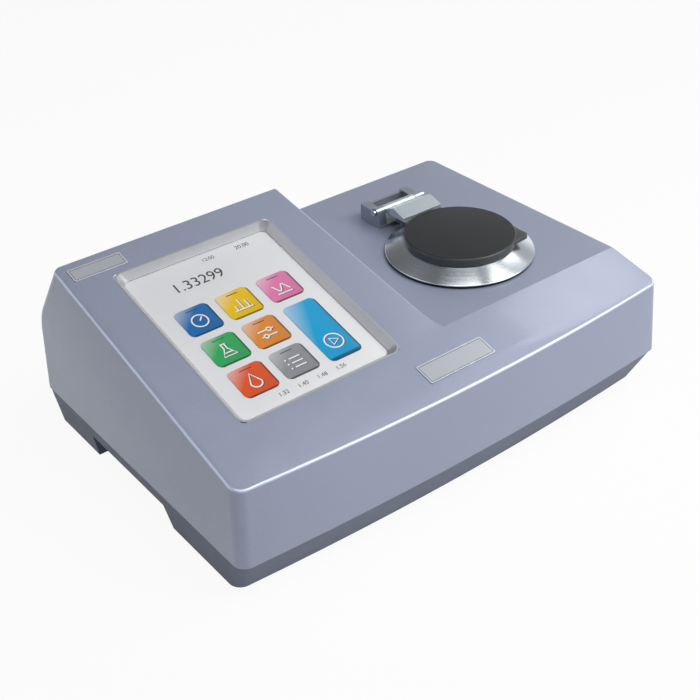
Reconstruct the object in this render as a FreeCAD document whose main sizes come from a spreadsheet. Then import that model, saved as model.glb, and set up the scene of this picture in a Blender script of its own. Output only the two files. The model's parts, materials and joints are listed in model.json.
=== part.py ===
import FreeCAD, Part
import math
import os

import Sketcher

# Bench refractometer: a wedge-shaped desk housing with a touch panel on its slope,
# a level deck at the right with a steel sample stage under a hinged black cover,
# and the prism, lamp, sensor, cooling and boards inside.
# Frame: X to the right, Y to the rear, Z up, millimetres, origin under the middle.

DOC = FreeCAD.newDocument("Refractometer")
SHEET = DOC.addObject("Spreadsheet::Sheet", "Sizes")
PIECES = []


class Size:
    """A length or ratio together with the sheet formula that gives it."""

    def __init__(self, value, formula):
        self.value = float(value)
        self.formula = formula

    def __add__(self, other):
        other = as_size(other)
        return Size(self.value + other.value, f"({self.formula} + {other.formula})")

    def __sub__(self, other):
        other = as_size(other)
        return Size(self.value - other.value, f"({self.formula} - {other.formula})")

    def __mul__(self, other):
        other = as_size(other)
        return Size(self.value * other.value, f"({self.formula} * {other.formula})")

    def __truediv__(self, other):
        other = as_size(other)
        return Size(self.value / other.value, f"({self.formula} / {other.formula})")

    def __radd__(self, other):
        return as_size(other) + self

    def __rsub__(self, other):
        return as_size(other) - self

    def __rmul__(self, other):
        return as_size(other) * self

    def __rtruediv__(self, other):
        return as_size(other) / self

    def __neg__(self):
        return Size(-self.value, f"(0 - {self.formula})")


def as_size(number):
    if isinstance(number, Size):
        return number
    return Size(number, repr(float(number)))


def root(number):
    return Size(math.sqrt(number.value), f"sqrt({number.formula})")


def angle_of(ratio):
    """Degrees of a slope that is given as rise over run."""
    return Size(math.degrees(math.atan(ratio.value)), f"atan({ratio.formula})")


def sine(degrees):
    return Size(math.sin(math.radians(degrees.value)), f"sin({degrees.formula})")


def cosine(degrees):
    return Size(math.cos(math.radians(degrees.value)), f"cos({degrees.formula})")


def size(name, value, meaning):
    """One driving dimension: a row of the sheet with its alias."""
    row = size.row
    size.row += 1
    SHEET.set(f"A{row}", meaning)
    SHEET.set(f"B{row}", str(value))
    SHEET.setAlias(f"B{row}", name)
    return Size(value, f"Sizes.{name}")


size.row = 1

# Casing
body_width = size("body_width", 370, "width at the parting line")
body_depth = size("body_depth", 260, "depth at the parting line")
body_height = size("body_height", 140, "height of the rear top edge")
front_level = size("front_level", 85.2, "height of the slope at the front face")
rear_setback = size("rear_setback", 33.5, "rear top edge ahead of the rear face")
rear_upright = size("rear_upright", 78.4, "height of the upright part of the rear face")
rear_bend = size("rear_bend", 40, "radius from the rear face to its lean")
parting_level = size("parting_level", 31.5, "height of the parting line")
foot_proud = size("foot_proud", 1.5, "feet below the lower case")
front_bow = size("front_bow", 6.8, "bulge of the front face")
side_draft = size("side_draft", 0.052, "draft of the upper faces per height")
front_corner = size("front_corner", 9, "radius of the front upright corners")
rear_corner = size("rear_corner", 7, "radius of the rear upright corners")
edge_round = size("edge_round", 2.5, "radius of the top edges")
wall = size("wall", 3, "wall of the casing")
deck_level = size("deck_level", 98, "height of the level deck")
deck_left = size("deck_left", 12, "foot of the wall at the left of the deck")
deck_wall_lean = size("deck_wall_lean", 0.2, "lean of that wall per height")
deck_round = size("deck_round", 4, "round between the deck and that wall")
base_side_inset = size("base_side_inset", 4.5, "lower case narrower at its foot, each side")
base_front_inset = size("base_front_inset", 15.5, "lower case shorter at its foot, front")
base_rear_inset = size("base_rear_inset", 3, "lower case shorter at its foot, rear")
parting_step = size("parting_step", 0.5, "lower case inside the upper one at the seam")
floor_thick = size("floor_thick", 3.5, "floor of the lower case")
grip_depth = size("grip_depth", 45, "reach of the hand holds under the sides")
grip_height = size("grip_height", 18, "height of the hand holds")
grip_front = size("grip_front", -33, "front end of the hand holds at the foot")
grip_rear = size("grip_rear", 67, "rear end of the hand holds")
grip_slant = size("grip_slant", 5, "slant of their front end")
foot_radius = size("foot_radius", 9, "rubber feet")
foot_sunk = size("foot_sunk", 1.5, "feet sunk in the floor")
foot_inset = size("foot_inset", 35, "feet in from the sides")
foot_front_inset = size("foot_front_inset", 42, "front feet behind the front")
foot_rear_inset = size("foot_rear_inset", 34, "rear feet ahead of the rear")
post_inset = size("post_inset", 19, "case screws in from the sides")
post_front_inset = size("post_front_inset", 29, "front case screws behind the front")
post_rear_inset = size("post_rear_inset", 18, "rear case screws ahead of the rear")
post_radius = size("post_radius", 5, "screw posts")
post_height = size("post_height", 24, "screw posts of the upper housing")
boss_radius = size("boss_radius", 6, "screw bosses of the lower case")
case_screw = size("case_screw", 2, "radius of the case screws")
case_head = size("case_head", 3.8, "radius of their heads")
case_head_high = size("case_head_high", 3, "height of their heads")
case_head_sunk = size("case_head_sunk", 6, "heads up inside their bosses")
post_rib = size("post_rib", 2.4, "ribs between the posts and the side walls")
post_screw_end = size("post_screw_end", 6, "post above the tip of a case screw")
bench_tap = size("bench_tap", 10, "screw holes of the bench posts")
vent_width = size("vent_width", 3, "air slots under the stage")
vent_length = size("vent_length", 50, "air slots under the stage")
vent_pitch = size("vent_pitch", 9, "between the air slots")
vent_shift = size("vent_shift", 10, "air slots behind the middle of the stage")
fit = size("fit", 0.1, "clearance of fixed pieces")

# Panel on the slope
panel_side = size("panel_side", -85.8, "middle of the panel sideways")
panel_along = size("panel_along", 129.7, "middle of the panel up the slope")
film_width = size("film_width", 116.4, "visible width of the touch panel")
film_length = size("film_length", 145.8, "visible length of the touch panel")
bevel_run = size("bevel_run", 4.6, "width of the bevel round the panel")
bevel_depth = size("bevel_depth", 5.3, "depth of the bevel")
bevel_corner = size("bevel_corner", 5, "corner radius of the bevel")
panel_hidden = size("panel_hidden", 3, "touch panel under the bevel edge")
gasket_thick = size("gasket_thick", 0.6, "panel gasket")
touch_thick = size("touch_thick", 2.5, "touch panel glass")
lcd_thick = size("lcd_thick", 6, "display module")
bracket_thick = size("bracket_thick", 1.2, "sheet of the display bracket")
bracket_end = size("bracket_end", 8, "display bracket short of the panel's ends")
bracket_screw_end = size("bracket_screw_end", 18, "display screws in from those ends")
bracket_corner = size("bracket_corner", 4, "corner radius of the display bracket")
bracket_open = size("bracket_open", 24, "width of the opening in the display bracket")
bracket_open_long = size("bracket_open_long", 100, "length of that opening")
lcd_margin = size("lcd_margin", 2, "display module inside the panel's edge")
lcd_board_gap = size("lcd_board_gap", 5, "spacers behind the display bracket")
lcd_board_width = size("lcd_board_width", 84, "board behind the display")
lcd_board_length = size("lcd_board_length", 64, "board behind the display")
spacer_across = size("spacer_across", 36, "those spacers from the panel's middle")
spacer_along = size("spacer_along", 26, "those spacers from the panel's middle")
spacer_radius = size("spacer_radius", 3, "those spacers")
lcd_chip_size = size("lcd_chip_size", 18, "chip on the board behind the display")
lcd_chip_high = size("lcd_chip_high", 2, "chip on the board behind the display")
lcd_plug_high = size("lcd_plug_high", 4, "plug on the board behind the display")
plug_depth = size("plug_depth", 6, "depth of the ribbon plugs")
ribbon_side = size("ribbon_side", 28, "ribbon from the panel's middle")
ribbon_back = size("ribbon_back", 10, "ribbon plug down from the panel's middle")
board_thick = size("board_thick", 1.6, "circuit boards")
small_screw = size("small_screw", 1.5, "radius of the small screws")
small_head = size("small_head", 2.7, "radius of their heads")
small_head_high = size("small_head_high", 1.6, "height of their heads")
small_hold = size("small_hold", 6, "small screws past what they hold down")
badge_sunk = size("badge_sunk", 0.4, "badge plates sunk in the slope")
badge_thick = size("badge_thick", 0.9, "badge plates")
front_badge_width = size("front_badge_width", 56, "front badge plate")
front_badge_length = size("front_badge_length", 16.7, "front badge plate")
front_badge_side = size("front_badge_side", 1.1, "front badge plate sideways")
front_badge_along = size("front_badge_along", 26.1, "front badge plate up the slope")
corner_badge_width = size("corner_badge_width", 40, "corner badge plate")
corner_badge_length = size("corner_badge_length", 12.5, "corner badge plate")
corner_badge_side = size("corner_badge_side", -152, "corner badge plate sideways")
corner_badge_back = size("corner_badge_back", 13.4, "its middle down from the rear top edge")

# Sample stage and cover
stage_side = size("stage_side", 92, "middle of the stage sideways")
stage_y = size("stage_y", -8, "middle of the stage")
ring_radius = size("ring_radius", 54.8, "stage ring")
ring_edge = size("ring_edge", 1.8, "upright edge of the stage ring")
ring_gasket = size("ring_gasket", 0.8, "gasket under the stage ring")
ring_crown = size("ring_crown", 40, "outer radius of the crown of the ring")
ring_high = size("ring_high", 9.6, "crown of the ring over the deck")
ring_flat = size("ring_flat", 3, "width of the crown")
well_radius = size("well_radius", 11, "bore of the ring for the prism holder")
well_floor = size("well_floor", 2.4, "foot of the sample well over the deck")
ring_thick = size("ring_thick", 3.6, "metal of the ring")
skirt_radius = size("skirt_radius", 44, "skirt of the ring through the deck")
skirt_thick = size("skirt_thick", 4, "skirt of the ring")
retainer_radius = size("retainer_radius", 52, "retainer under the deck")
retainer_inner = size("retainer_inner", 36, "bore of the retainer")
retainer_thick = size("retainer_thick", 3, "retainer under the deck")
prism_radius = size("prism_radius", 7, "top of the prism")
prism_high = size("prism_high", 2, "top of the prism over the deck")
prism_edge = size("prism_edge", 2.5, "upright edge of the prism")
prism_point = size("prism_point", 2, "radius of the prism's lower end")
seal_thick = size("seal_thick", 1.5, "seal round the prism")
cover_radius = size("cover_radius", 41, "sample cover")
cover_top = size("cover_top", 16, "top of the cover over the deck")
cover_thick = size("cover_thick", 3.4, "top of the cover")
cover_rim = size("cover_rim", 3.2, "rim of the cover")
cover_gap = size("cover_gap", 0.4, "closed cover over the ring")
cover_bevel = size("cover_bevel", 0.9, "bevel round the top of the cover")
tab_reach = size("tab_reach", 48.8, "tip of the lifting tab from the middle")
tab_width = size("tab_width", 26, "root of the lifting tab")
tab_neck = size("tab_neck", 14.6, "width of the lifting tab at a third of its reach")
tab_tip = size("tab_tip", 3.2, "width of the tip of the lifting tab")
tab_turn = size("tab_turn", -43, "direction of the tab, degrees from +X")
tab_thick = size("tab_thick", 3.2, "lifting tab")
tongue_width = size("tongue_width", 37, "tongue of the cover and arm")
tongue_rear = size("tongue_rear", 51, "end of the tongue behind the middle of the stage")
tongue_thick = size("tongue_thick", 3, "tongue of the cover")
pad_radius = size("pad_radius", 30, "reflector pad in the cover")
pad_thick = size("pad_thick", 2.2, "reflector pad in the cover")
tongue_lift = size("tongue_lift", 1.2, "tongue over the underside of the cover")
arm_front_high = size("arm_front_high", 16.5, "front edge of the arm over the deck")
arm_ridge = size("arm_ridge", 53.7, "ridge of the arm behind the middle of the stage")
arm_ridge_high = size("arm_ridge_high", 20.4, "ridge of the arm over the deck")
arm_back = size("arm_back", 58, "end of the wide part behind the middle of the stage")
arm_neck = size("arm_neck", 30, "width of the arm at the barrel")
arm_low = size("arm_low", 1.6, "underside of the arm below the hinge axis")
arm_thick = size("arm_thick", 3, "arm at the barrel")
arm_gap = size("arm_gap", 0.3, "arm behind the cover, and neck behind the tongue")
hinge_y = size("hinge_y", 62, "hinge axis")
hinge_high = size("hinge_high", 12, "hinge axis over the deck")
pin_radius = size("pin_radius", 1.5, "hinge pin")
pin_fit = size("pin_fit", 0.05, "running clearance of the hinge pin")
pin_head = size("pin_head", 2.5, "heads of the hinge pin")
pin_head_long = size("pin_head_long", 1.8, "heads of the hinge pin")
pin_end_gap = size("pin_end_gap", 0.2, "heads of the pin past the ears")
barrel_radius = size("barrel_radius", 3.2, "barrel of the arm")
barrel_length = size("barrel_length", 30.4, "barrel of the arm")
ear_gap = size("ear_gap", 0.35, "barrel to each ear")
ear_thick = size("ear_thick", 7.5, "ears of the hinge bracket")
ear_front = size("ear_front", 6, "foot of the ears ahead of the hinge axis")
ear_rear = size("ear_rear", 17, "ears behind the hinge axis")
ear_top = size("ear_top", 13, "rear part of the ears over the deck")
ear_rise = size("ear_rise", 9, "start of that part behind the hinge axis")
ear_round = size("ear_round", 3.4, "ears round the pin")
hinge_base_thick = size("hinge_base_thick", 2.2, "base of the hinge bracket")
hinge_wall_high = size("hinge_wall_high", 11.5, "rear wall of the hinge bracket over the deck")
hinge_screw_front = size("hinge_screw_front", 1, "front hinge screws behind the axis")
hinge_screw_rear = size("hinge_screw_rear", 12.5, "rear hinge screws behind the axis")
hinge_screw_reach = size("hinge_screw_reach", 5.5, "hinge screws up in the ears")

# Optics and cooling
beam_angle = size("beam_angle", 45, "lamp and sensor axes from the vertical")
holder_half = size("holder_half", 16, "prism holder, half its depth")
holder_high = size("holder_high", 94, "top of the prism holder")
beam_root = size("beam_root", 92, "height where the two axes meet")
beam_reach = size("beam_reach", 24, "slanted faces of the holder from there")
face_half = size("face_half", 11, "half the length of those faces")
seat_depth = size("seat_depth", 8, "barrels sunk in the holder")
tube_radius = size("tube_radius", 9, "lamp and sensor barrels")
tube_wall = size("tube_wall", 2, "wall of the barrels")
tube_length = size("tube_length", 40, "lamp and sensor barrels")
light_hole = size("light_hole", 4, "light passage in the holder")
lens_thick = size("lens_thick", 4, "lenses")
filter_thick = size("filter_thick", 2, "light filter")
bench_level = size("bench_level", 24, "underside of the optical bench")
bench_thick = size("bench_thick", 8, "base of the optical bench")
bench_width = size("bench_width", 92, "optical bench")
bench_front = size("bench_front", -60, "front of the optical bench")
bench_rear = size("bench_rear", 44, "rear of the optical bench")
pillar_thick = size("pillar_thick", 8, "pillar of the optical bench")
rib_thick = size("rib_thick", 5, "ribs of the optical bench")
cooler_thick = size("cooler_thick", 3.8, "thermoelectric cooler")
cooler_width = size("cooler_width", 30, "thermoelectric cooler")
cooler_low = size("cooler_low", 68, "underside of the cooler")
sink_width = size("sink_width", 46, "heat sink")
sink_low = size("sink_low", 36, "underside of the heat sink")
sink_high = size("sink_high", 89, "top of the heat sink")
sink_plate = size("sink_plate", 6, "plate of the heat sink")
fin_length = size("fin_length", 78, "fins of the heat sink")
fin_thick = size("fin_thick", 1.6, "fins of the heat sink")
fan_size = size("fan_size", 40, "fan frame")
fan_thick = size("fan_thick", 10, "fan frame")
fan_level = size("fan_level", 56, "fan axis")
duct_radius = size("duct_radius", 18.6, "bore of the fan frame")
blade_gap = size("blade_gap", 0.6, "blade tips to the bore")
hub_radius = size("hub_radius", 9.5, "hub of the fan rotor")
strut_thick = size("strut_thick", 1.8, "struts of the fan frame")

# Rear panel
window_low = size("window_low", 37, "opening in the rear wall")
window_drop = size("window_drop", 3.4, "that opening below the lean of the rear face")
window_left = size("window_left", -108, "opening in the rear wall")
window_right = size("window_right", 117, "opening in the rear wall")
panel_lap = size("panel_lap", 5, "rear panel behind the wall")
panel_thick = size("panel_thick", 1.5, "rear panel")
panel_ear = size("panel_ear", 8, "rear panel past the opening, each side")
panel_screw_pitch = size("panel_screw_pitch", 24, "between the screws of an end")
fixture_level = size("fixture_level", 56, "middle of the inlet, switch and sockets")
inlet_side = size("inlet_side", -84, "mains inlet")
inlet_width = size("inlet_width", 27, "body of the mains inlet")
inlet_high = size("inlet_high", 20, "body of the mains inlet")
inlet_deep = size("inlet_deep", 20, "body of the mains inlet")
inlet_flange = size("inlet_flange", 2.2, "flanges of the inlet, switch and sockets")
inlet_lip = size("inlet_lip", 2.6, "flange past the body")
socket_wall = size("socket_wall", 1.8, "wall of the inlet body")
switch_side = size("switch_side", -44, "power switch")
switch_width = size("switch_width", 19.4, "body of the power switch")
switch_high = size("switch_high", 13, "body of the power switch")
switch_deep = size("switch_deep", 16, "body of the power switch")
rocker_gap = size("rocker_gap", 0.5, "rocker in its frame")
rocker_rise = size("rocker_rise", 2.2, "ends of the rocker over its dip")
serial_side = size("serial_side", -6, "serial connector")
usb_side = size("usb_side", 30, "first universal serial bus socket")
usb_pitch = size("usb_pitch", 19, "between those sockets")

# Boards
board_level = size("board_level", 12, "underside of the main board")
board_gap = size("board_gap", 8, "main board beside the power supply")
board_side_gap = size("board_side_gap", 12, "main board beside the optical bench")
board_front = size("board_front", -96, "main board")
board_rear = size("board_rear", 66, "main board")
standoff_radius = size("standoff_radius", 3, "standoffs of the main board")
supply_gap = size("supply_gap", 5, "power supply beside the left hand hold")
supply_width = size("supply_width", 38, "power supply")
supply_front = size("supply_front", 2, "power supply")
supply_rear = size("supply_rear", 104, "power supply")
supply_high = size("supply_high", 32, "power supply")
ribbon_width = size("ribbon_width", 20, "display ribbon")
ribbon_thick = size("ribbon_thick", 0.6, "display ribbon")
DOC.recompute()

# Values worked out from the driving dimensions
half_width = body_width / 2
half_depth = body_depth / 2
rear_edge = half_depth - rear_setback
slope = (body_height - front_level) / (rear_edge + half_depth)
slope_length = root(1 + slope * slope)
slope_angle = angle_of(slope)
lean_far_y = rear_bend - rear_setback
lean_far_z = body_height - rear_upright
lean_run = root(lean_far_y * lean_far_y + lean_far_z * lean_far_z - rear_bend * rear_bend)
lean_angle = angle_of(rear_bend / lean_run) - angle_of(lean_far_y / lean_far_z)
rear_lean = sine(lean_angle) / cosine(lean_angle)
lean_length = root(1 + rear_lean * rear_lean)
corner_badge_along = (rear_edge + half_depth) * slope_length - corner_badge_back
window_high = rear_upright - window_drop
post_side = half_width - post_inset
post_front = post_front_inset - half_depth
post_rear = half_depth - post_rear_inset
foot_side = half_width - foot_inset
foot_front = foot_front_inset - half_depth
foot_rear = half_depth - foot_rear_inset
supply_left = supply_gap + grip_depth + wall - half_width
supply_right = supply_left + supply_width
board_left = supply_right + board_gap
board_right = stage_side - bench_width / 2 - board_side_gap
floor_level = foot_proud + floor_thick
panel_front = -(bevel_depth + gasket_thick)
panel_back = panel_front - touch_thick
lcd_back = panel_back - lcd_thick
bracket_back = lcd_back - bracket_thick
lcd_board_top = bracket_back - lcd_board_gap
panel_half_width = film_width / 2 + panel_hidden
panel_half_length = film_length / 2 + panel_hidden
rear_wall = half_depth - wall


def slope_level(y):
    return front_level + slope * (y + half_depth)


def bind(thing, path, number):
    """Tie one property of an object to its sheet formula."""
    thing.setExpression(path, as_size(number).formula)


def place(thing, x=0, y=0, z=0, axis=(0, 0, 1), degrees=0):
    turn = FreeCAD.Rotation(FreeCAD.Vector(*axis), as_size(degrees).value)
    spot = FreeCAD.Vector(as_size(x).value, as_size(y).value, as_size(z).value)
    thing.Placement = FreeCAD.Placement(spot, turn)
    bind(thing, "Placement.Base.x", x)
    bind(thing, "Placement.Base.y", y)
    bind(thing, "Placement.Base.z", z)
    if isinstance(degrees, Size):
        bind(thing, "Placement.Rotation.Angle", degrees)
    return thing


def on_slope(thing):
    """Frame on the slope: X sideways, Y up the slope from the front face, Z out of it."""
    return place(thing, 0, -half_depth, front_level, (1, 0, 0), slope_angle)


def box(name, x, y, z, width, depth, height):
    solid = DOC.addObject("Part::Box", name)
    bind(solid, "Length", width)
    bind(solid, "Width", depth)
    bind(solid, "Height", height)
    return place(solid, x, y, z)


def centred_box(name, x, y, z, width, depth, height):
    """Box centred on x and y, standing on z."""
    return box(name, x - width / 2, y - depth / 2, z, width, depth, height)


AXES = {"X": ((0, 1, 0), 90), "Y": ((1, 0, 0), -90), "Z": ((0, 0, 1), 0)}


def rod(name, x, y, z, radius, length, along="Z"):
    solid = DOC.addObject("Part::Cylinder", name)
    bind(solid, "Radius", radius)
    bind(solid, "Height", length)
    axis, degrees = AXES[along]
    return place(solid, x, y, z, axis, degrees)


def cut(name, base, *tools):
    result = DOC.addObject("Part::Cut", name)
    result.Base = base
    result.Tool = tools[0] if len(tools) == 1 else fuse(name + "_tools", *tools)
    return result


def fuse(name, *solids):
    result = DOC.addObject("Part::MultiFuse", name)
    result.Shapes = list(solids)
    return result


def common(name, *solids):
    result = DOC.addObject("Part::MultiCommon", name)
    result.Shapes = list(solids)
    return result


def group(name, *solids):
    """Separate solids that make one piece of the list, such as a set of screws."""
    result = DOC.addObject("Part::Compound", name)
    result.Links = list(solids)
    return result


def piece(name, solid):
    solid.Label = name
    PIECES.append(solid)
    return solid


def new_body(name):
    return DOC.addObject("PartDesign::Body", name)


def sketch_on(body, plane, lift=0):
    sketch = body.newObject("Sketcher::SketchObject", body.Name + "_sketch")
    support = [feature for feature in body.Origin.OriginFeatures if feature.Role == plane]
    sketch.AttachmentSupport = [(support[0], "")]
    sketch.MapMode = "FlatFace"
    bind(sketch, "AttachmentOffset.Base.z", lift)
    return sketch


def constrain(sketch, number, kind, *elements):
    index = sketch.addConstraint(Sketcher.Constraint(kind, *elements, number.value))
    sketch.setExpression(f"Constraints[{index}]", number.formula)


def pin_point(sketch, line, end, across, up):
    constrain(sketch, as_size(across), "DistanceX", -1, 1, line, end)
    constrain(sketch, as_size(up), "DistanceY", -1, 1, line, end)


def outline(sketch, corners, arcs=None):
    """Closed outline through the corners. A side named in arcs is part of a circle,
    given as its centre and radius, and bulges to the left of its run."""
    arcs = arcs or {}
    points = [FreeCAD.Vector(as_size(u).value, as_size(v).value, 0) for u, v in corners]
    count = len(points)
    for index, start in enumerate(points):
        end = points[(index + 1) % count]
        if index in arcs:
            across, up, radius = (as_size(number) for number in arcs[index])
            centre = FreeCAD.Vector(across.value, up.value, 0)
            circle = Part.Circle(centre, FreeCAD.Vector(0, 0, 1), radius.value)
            first = math.atan2(end.y - centre.y, end.x - centre.x)
            last = math.atan2(start.y - centre.y, start.x - centre.x)
            sketch.addGeometry(Part.ArcOfCircle(circle, first, last), False)
        else:
            sketch.addGeometry(Part.LineSegment(start, end), False)
    for index, (across, up) in enumerate(corners):
        after = (index + 1) % count
        end_point = 1 if index in arcs else 2
        after_point = 2 if after in arcs else 1
        joint = Sketcher.Constraint("Coincident", index, end_point, after, after_point)
        sketch.addConstraint(joint)
        pin_point(sketch, index, 2 if index in arcs else 1, across, up)
    for index, (across, up, radius) in arcs.items():
        constrain(sketch, as_size(radius), "Radius", index)
    return sketch


def rectangle(sketch, left, low, right, high):
    return outline(sketch, [(left, low), (right, low), (right, high), (left, high)])


def pad(body, sketch, length, reverse=False, middle=False):
    feature = body.newObject("PartDesign::Pad", body.Name + "_pad")
    feature.Profile = sketch
    bind(feature, "Length", length)
    feature.Reversed = reverse
    feature.SideType = "Symmetric" if middle else "One side"
    return feature


def pocket_through(body, sketch):
    feature = body.newObject("PartDesign::Pocket", body.Name + "_pocket")
    feature.Profile = sketch
    feature.Type = "ThroughAll"
    feature.SideType = "Symmetric"
    return feature


def loft(body, first, last):
    feature = body.newObject("PartDesign::AdditiveLoft", body.Name + "_loft")
    feature.Profile = first
    feature.Sections = [last]
    feature.Ruled = True
    return feature


def turned(name, profile):
    """Solid of revolution about Z from corners given as radius and height."""
    body = new_body(name)
    sketch = outline(sketch_on(body, "XZ_Plane"), profile)
    feature = body.newObject("PartDesign::Revolution", name + "_turn")
    feature.Profile = sketch
    feature.ReferenceAxis = (sketch, ["V_Axis"])
    feature.Angle = 360
    return body


def round_edges(body, radius, chosen):
    """Fillet the edges of the body's last feature that pass the test."""
    DOC.recompute()
    base = body.Tip
    names = [f"Edge{place}" for place, edge in enumerate(base.Shape.Edges, 1) if chosen(edge)]
    feature = body.newObject("PartDesign::Fillet", body.Name + "_fillet")
    feature.Base = (base, names)
    bind(feature, "Radius", radius)
    return feature


def middle_of(edge):
    return edge.valueAt((edge.FirstParameter + edge.LastParameter) / 2)


def is_upright(edge):
    ends = edge.Vertexes
    if len(ends) < 2:
        return False
    run = ends[1].Point - ends[0].Point
    return abs(run.z) > 0.8 * run.Length


def plate(name, left, low, right, high, bottom, thickness, corner=None):
    """Flat plate in the XY plane of its own frame, with rounded corners if asked."""
    body = new_body(name)
    sketch = rectangle(sketch_on(body, "XY_Plane", bottom), left, low, right, high)
    pad(body, sketch, thickness)
    if corner is not None:
        round_edges(body, corner, is_upright)
    return body


def screw_down(name, x, y, top, radius, head, head_high, length):
    """Screw that points down, its head standing on the given height."""
    shank = rod(name + "_shank", x, y, top - length, radius, length)
    cap = rod(name + "_head", x, y, top, head, head_high)
    return fuse(name, shank, cap)


# Cutters run this far past the faces that they cut
past = 1


# Casing

def plan_outline(body, level, half, front, rear, corner, rear_round=None):
    """Plan with straight sides and rear, a front that bows forward and round corners."""
    bow = (half * half + front_bow * front_bow) / (2 * front_bow)
    bow_y = front + bow
    corner_x = half - corner
    corner_y = bow_y - root((bow - corner) * (bow - corner) - corner_x * corner_x)
    share = bow / (bow - corner)
    touch_x = corner_x * share
    touch_y = bow_y + (corner_y - bow_y) * share
    front_arcs = [
        (corner_x, corner_y, corner),
        (0, bow_y, bow),
        (-corner_x, corner_y, corner),
    ]
    front_corners = [(half, corner_y), (touch_x, touch_y), (-touch_x, touch_y)]
    if rear_round is None:
        corners = [(-half, corner_y), (-half, rear), (half, rear)] + front_corners
        arcs = dict(enumerate(front_arcs, 3))
    else:
        side_end = rear - rear_round
        rear_end = half - rear_round
        corners = [
            (-half, corner_y),
            (-half, side_end),
            (-rear_end, rear),
            (rear_end, rear),
            (half, side_end),
        ] + front_corners
        arcs = dict(enumerate(front_arcs, 5))
        arcs[1] = (-rear_end, side_end, rear_round)
        arcs[3] = (rear_end, side_end, rear_round)
    return outline(sketch_on(body, "XY_Plane", level), corners, arcs)


def sky_outline(sketch, inset, low):
    """Side view of all that is cut away above the slope and behind the rear face."""
    reach = 20
    rear = half_depth - inset
    drop = inset * slope_length
    lean_top = rear_edge - inset * lean_length
    cross = lean_top + rear_lean * (body_height - front_level - slope * half_depth + drop)
    cross_y = cross / (1 + rear_lean * slope)
    knee = body_height - (rear - lean_top) / rear_lean
    bend = rear_bend - inset
    bend_level = knee - bend * (lean_length - 1) / rear_lean
    bend_y = rear - bend
    front_y = -half_depth - reach
    high = body_height + reach
    corners = [
        (front_y, slope_level(front_y) - drop),
        (cross_y, slope_level(cross_y) - drop),
        (bend_y + bend / lean_length, bend_level + bend * rear_lean / lean_length),
        (rear, bend_level),
        (rear, low),
        (rear + 2 * reach, low),
        (rear + 2 * reach, high),
        (front_y, high),
    ]
    return outline(sketch, corners, {2: (bend_y, bend_level, bend)})


def points_along(edge):
    step = (edge.LastParameter - edge.FirstParameter) / 4
    return [edge.valueAt(edge.FirstParameter + step * count) for count in range(5)]


def bounds_top(edge):
    """True on the rim of the slope or of the deck, but not where those two meet."""
    points = points_along(edge)
    near = 0.02
    on_slope_face = all(abs(point.z - slope_level(as_size(point.y)).value) < near for point in points)
    on_deck = all(abs(point.z - deck_level.value) < near for point in points)
    beside_wall = all(point.x < (deck_left + 2 * deck_round).value for point in points)
    return on_slope_face != on_deck and not (beside_wall and on_deck)


def bounds_wall_foot(edge):
    """True on the line where the wall at the left of the deck stands on the deck."""
    points = points_along(edge)
    near = 0.02
    on_deck = all(abs(point.z - deck_level.value) < near for point in points)
    return on_deck and all(abs(point.x - deck_left.value) < near for point in points)


def bounds_rear(edge):
    """True on the upright corner edges at the rear."""
    middle = middle_of(edge)
    return middle.y > rear_edge.value - 1 and abs(middle.x) > half_width.value * 0.8


def housing_form(name, inset):
    """Outer form of the upper housing, or the hollow inside it when inset is the wall."""
    body = new_body(name)
    low = parting_level - inset / wall
    high = body_height + 5
    rear = half_depth + 12
    corner = front_corner - inset
    sections = []
    for level in (low, high):
        drawn_in = inset + side_draft * (level - parting_level)
        half = half_width - drawn_in
        sections.append(plan_outline(body, level, half, drawn_in - half_depth, rear, corner))
    loft(body, sections[0], sections[1])
    sky = sketch_on(body, "YZ_Plane")
    pocket_through(body, sky_outline(sky, inset, low - 5))
    deck = deck_level - inset
    foot = deck_left - inset * root(1 + deck_wall_lean * deck_wall_lean)
    rise = high + 20 - deck
    above_deck = [
        (foot, deck),
        (body_width, deck),
        (body_width, deck + rise),
        (foot - deck_wall_lean * rise, deck + rise),
    ]
    pocket_through(body, outline(sketch_on(body, "XZ_Plane"), above_deck))
    round_edges(body, rear_corner - inset, bounds_rear)
    return body


def slope_rod(name, across, along, radius, bottom, length):
    """Upright rod in the frame of the slope."""
    body = new_body(name)
    sketch = sketch_on(body, "XY_Plane", bottom)
    circle = Part.Circle(FreeCAD.Vector(across.value, along.value, 0), FreeCAD.Vector(0, 0, 1), radius.value)
    sketch.addGeometry(circle, False)
    pin_point(sketch, 0, 3, across, along)
    constrain(sketch, as_size(radius), "Radius", 0)
    pad(body, sketch, length)
    return on_slope(body)


def slope_plate(name, across, along, half_across, half_along, bottom, thickness, corner=None):
    """Flat plate in the frame of the slope, given by its middle and half sizes."""
    body = plate(
        name,
        across - half_across,
        along - half_along,
        across + half_across,
        along + half_along,
        bottom,
        thickness,
        corner,
    )
    return on_slope(body)


def panel_plate(name, half_across, half_along, bottom, thickness, corner=None):
    return slope_plate(
        name, panel_side, panel_along, half_across, half_along, bottom, thickness, corner
    )


def bevel_cutter():
    """Sunk bevel that leads from the slope down to the edge of the touch panel."""
    body = new_body("bevel_cutter")
    lift = as_size(1)
    sections = []
    for level, grown in ((lift, bevel_run * (1 + lift / bevel_depth)), (-bevel_depth, as_size(0))):
        half_across = film_width / 2 + grown
        half_along = film_length / 2 + grown
        sketch = sketch_on(body, "XY_Plane", level)
        sections.append(rectangle(
            sketch,
            panel_side - half_across,
            panel_along - half_along,
            panel_side + half_across,
            panel_along + half_along,
        ))
    loft(body, sections[0], sections[1])
    round_edges(body, bevel_corner, leans_up)
    return on_slope(body)


def leans_up(edge):
    """True on an edge that climbs from one level to another."""
    ends = edge.Vertexes
    return abs(ends[1].Point.z - ends[0].Point.z) > 1


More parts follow.
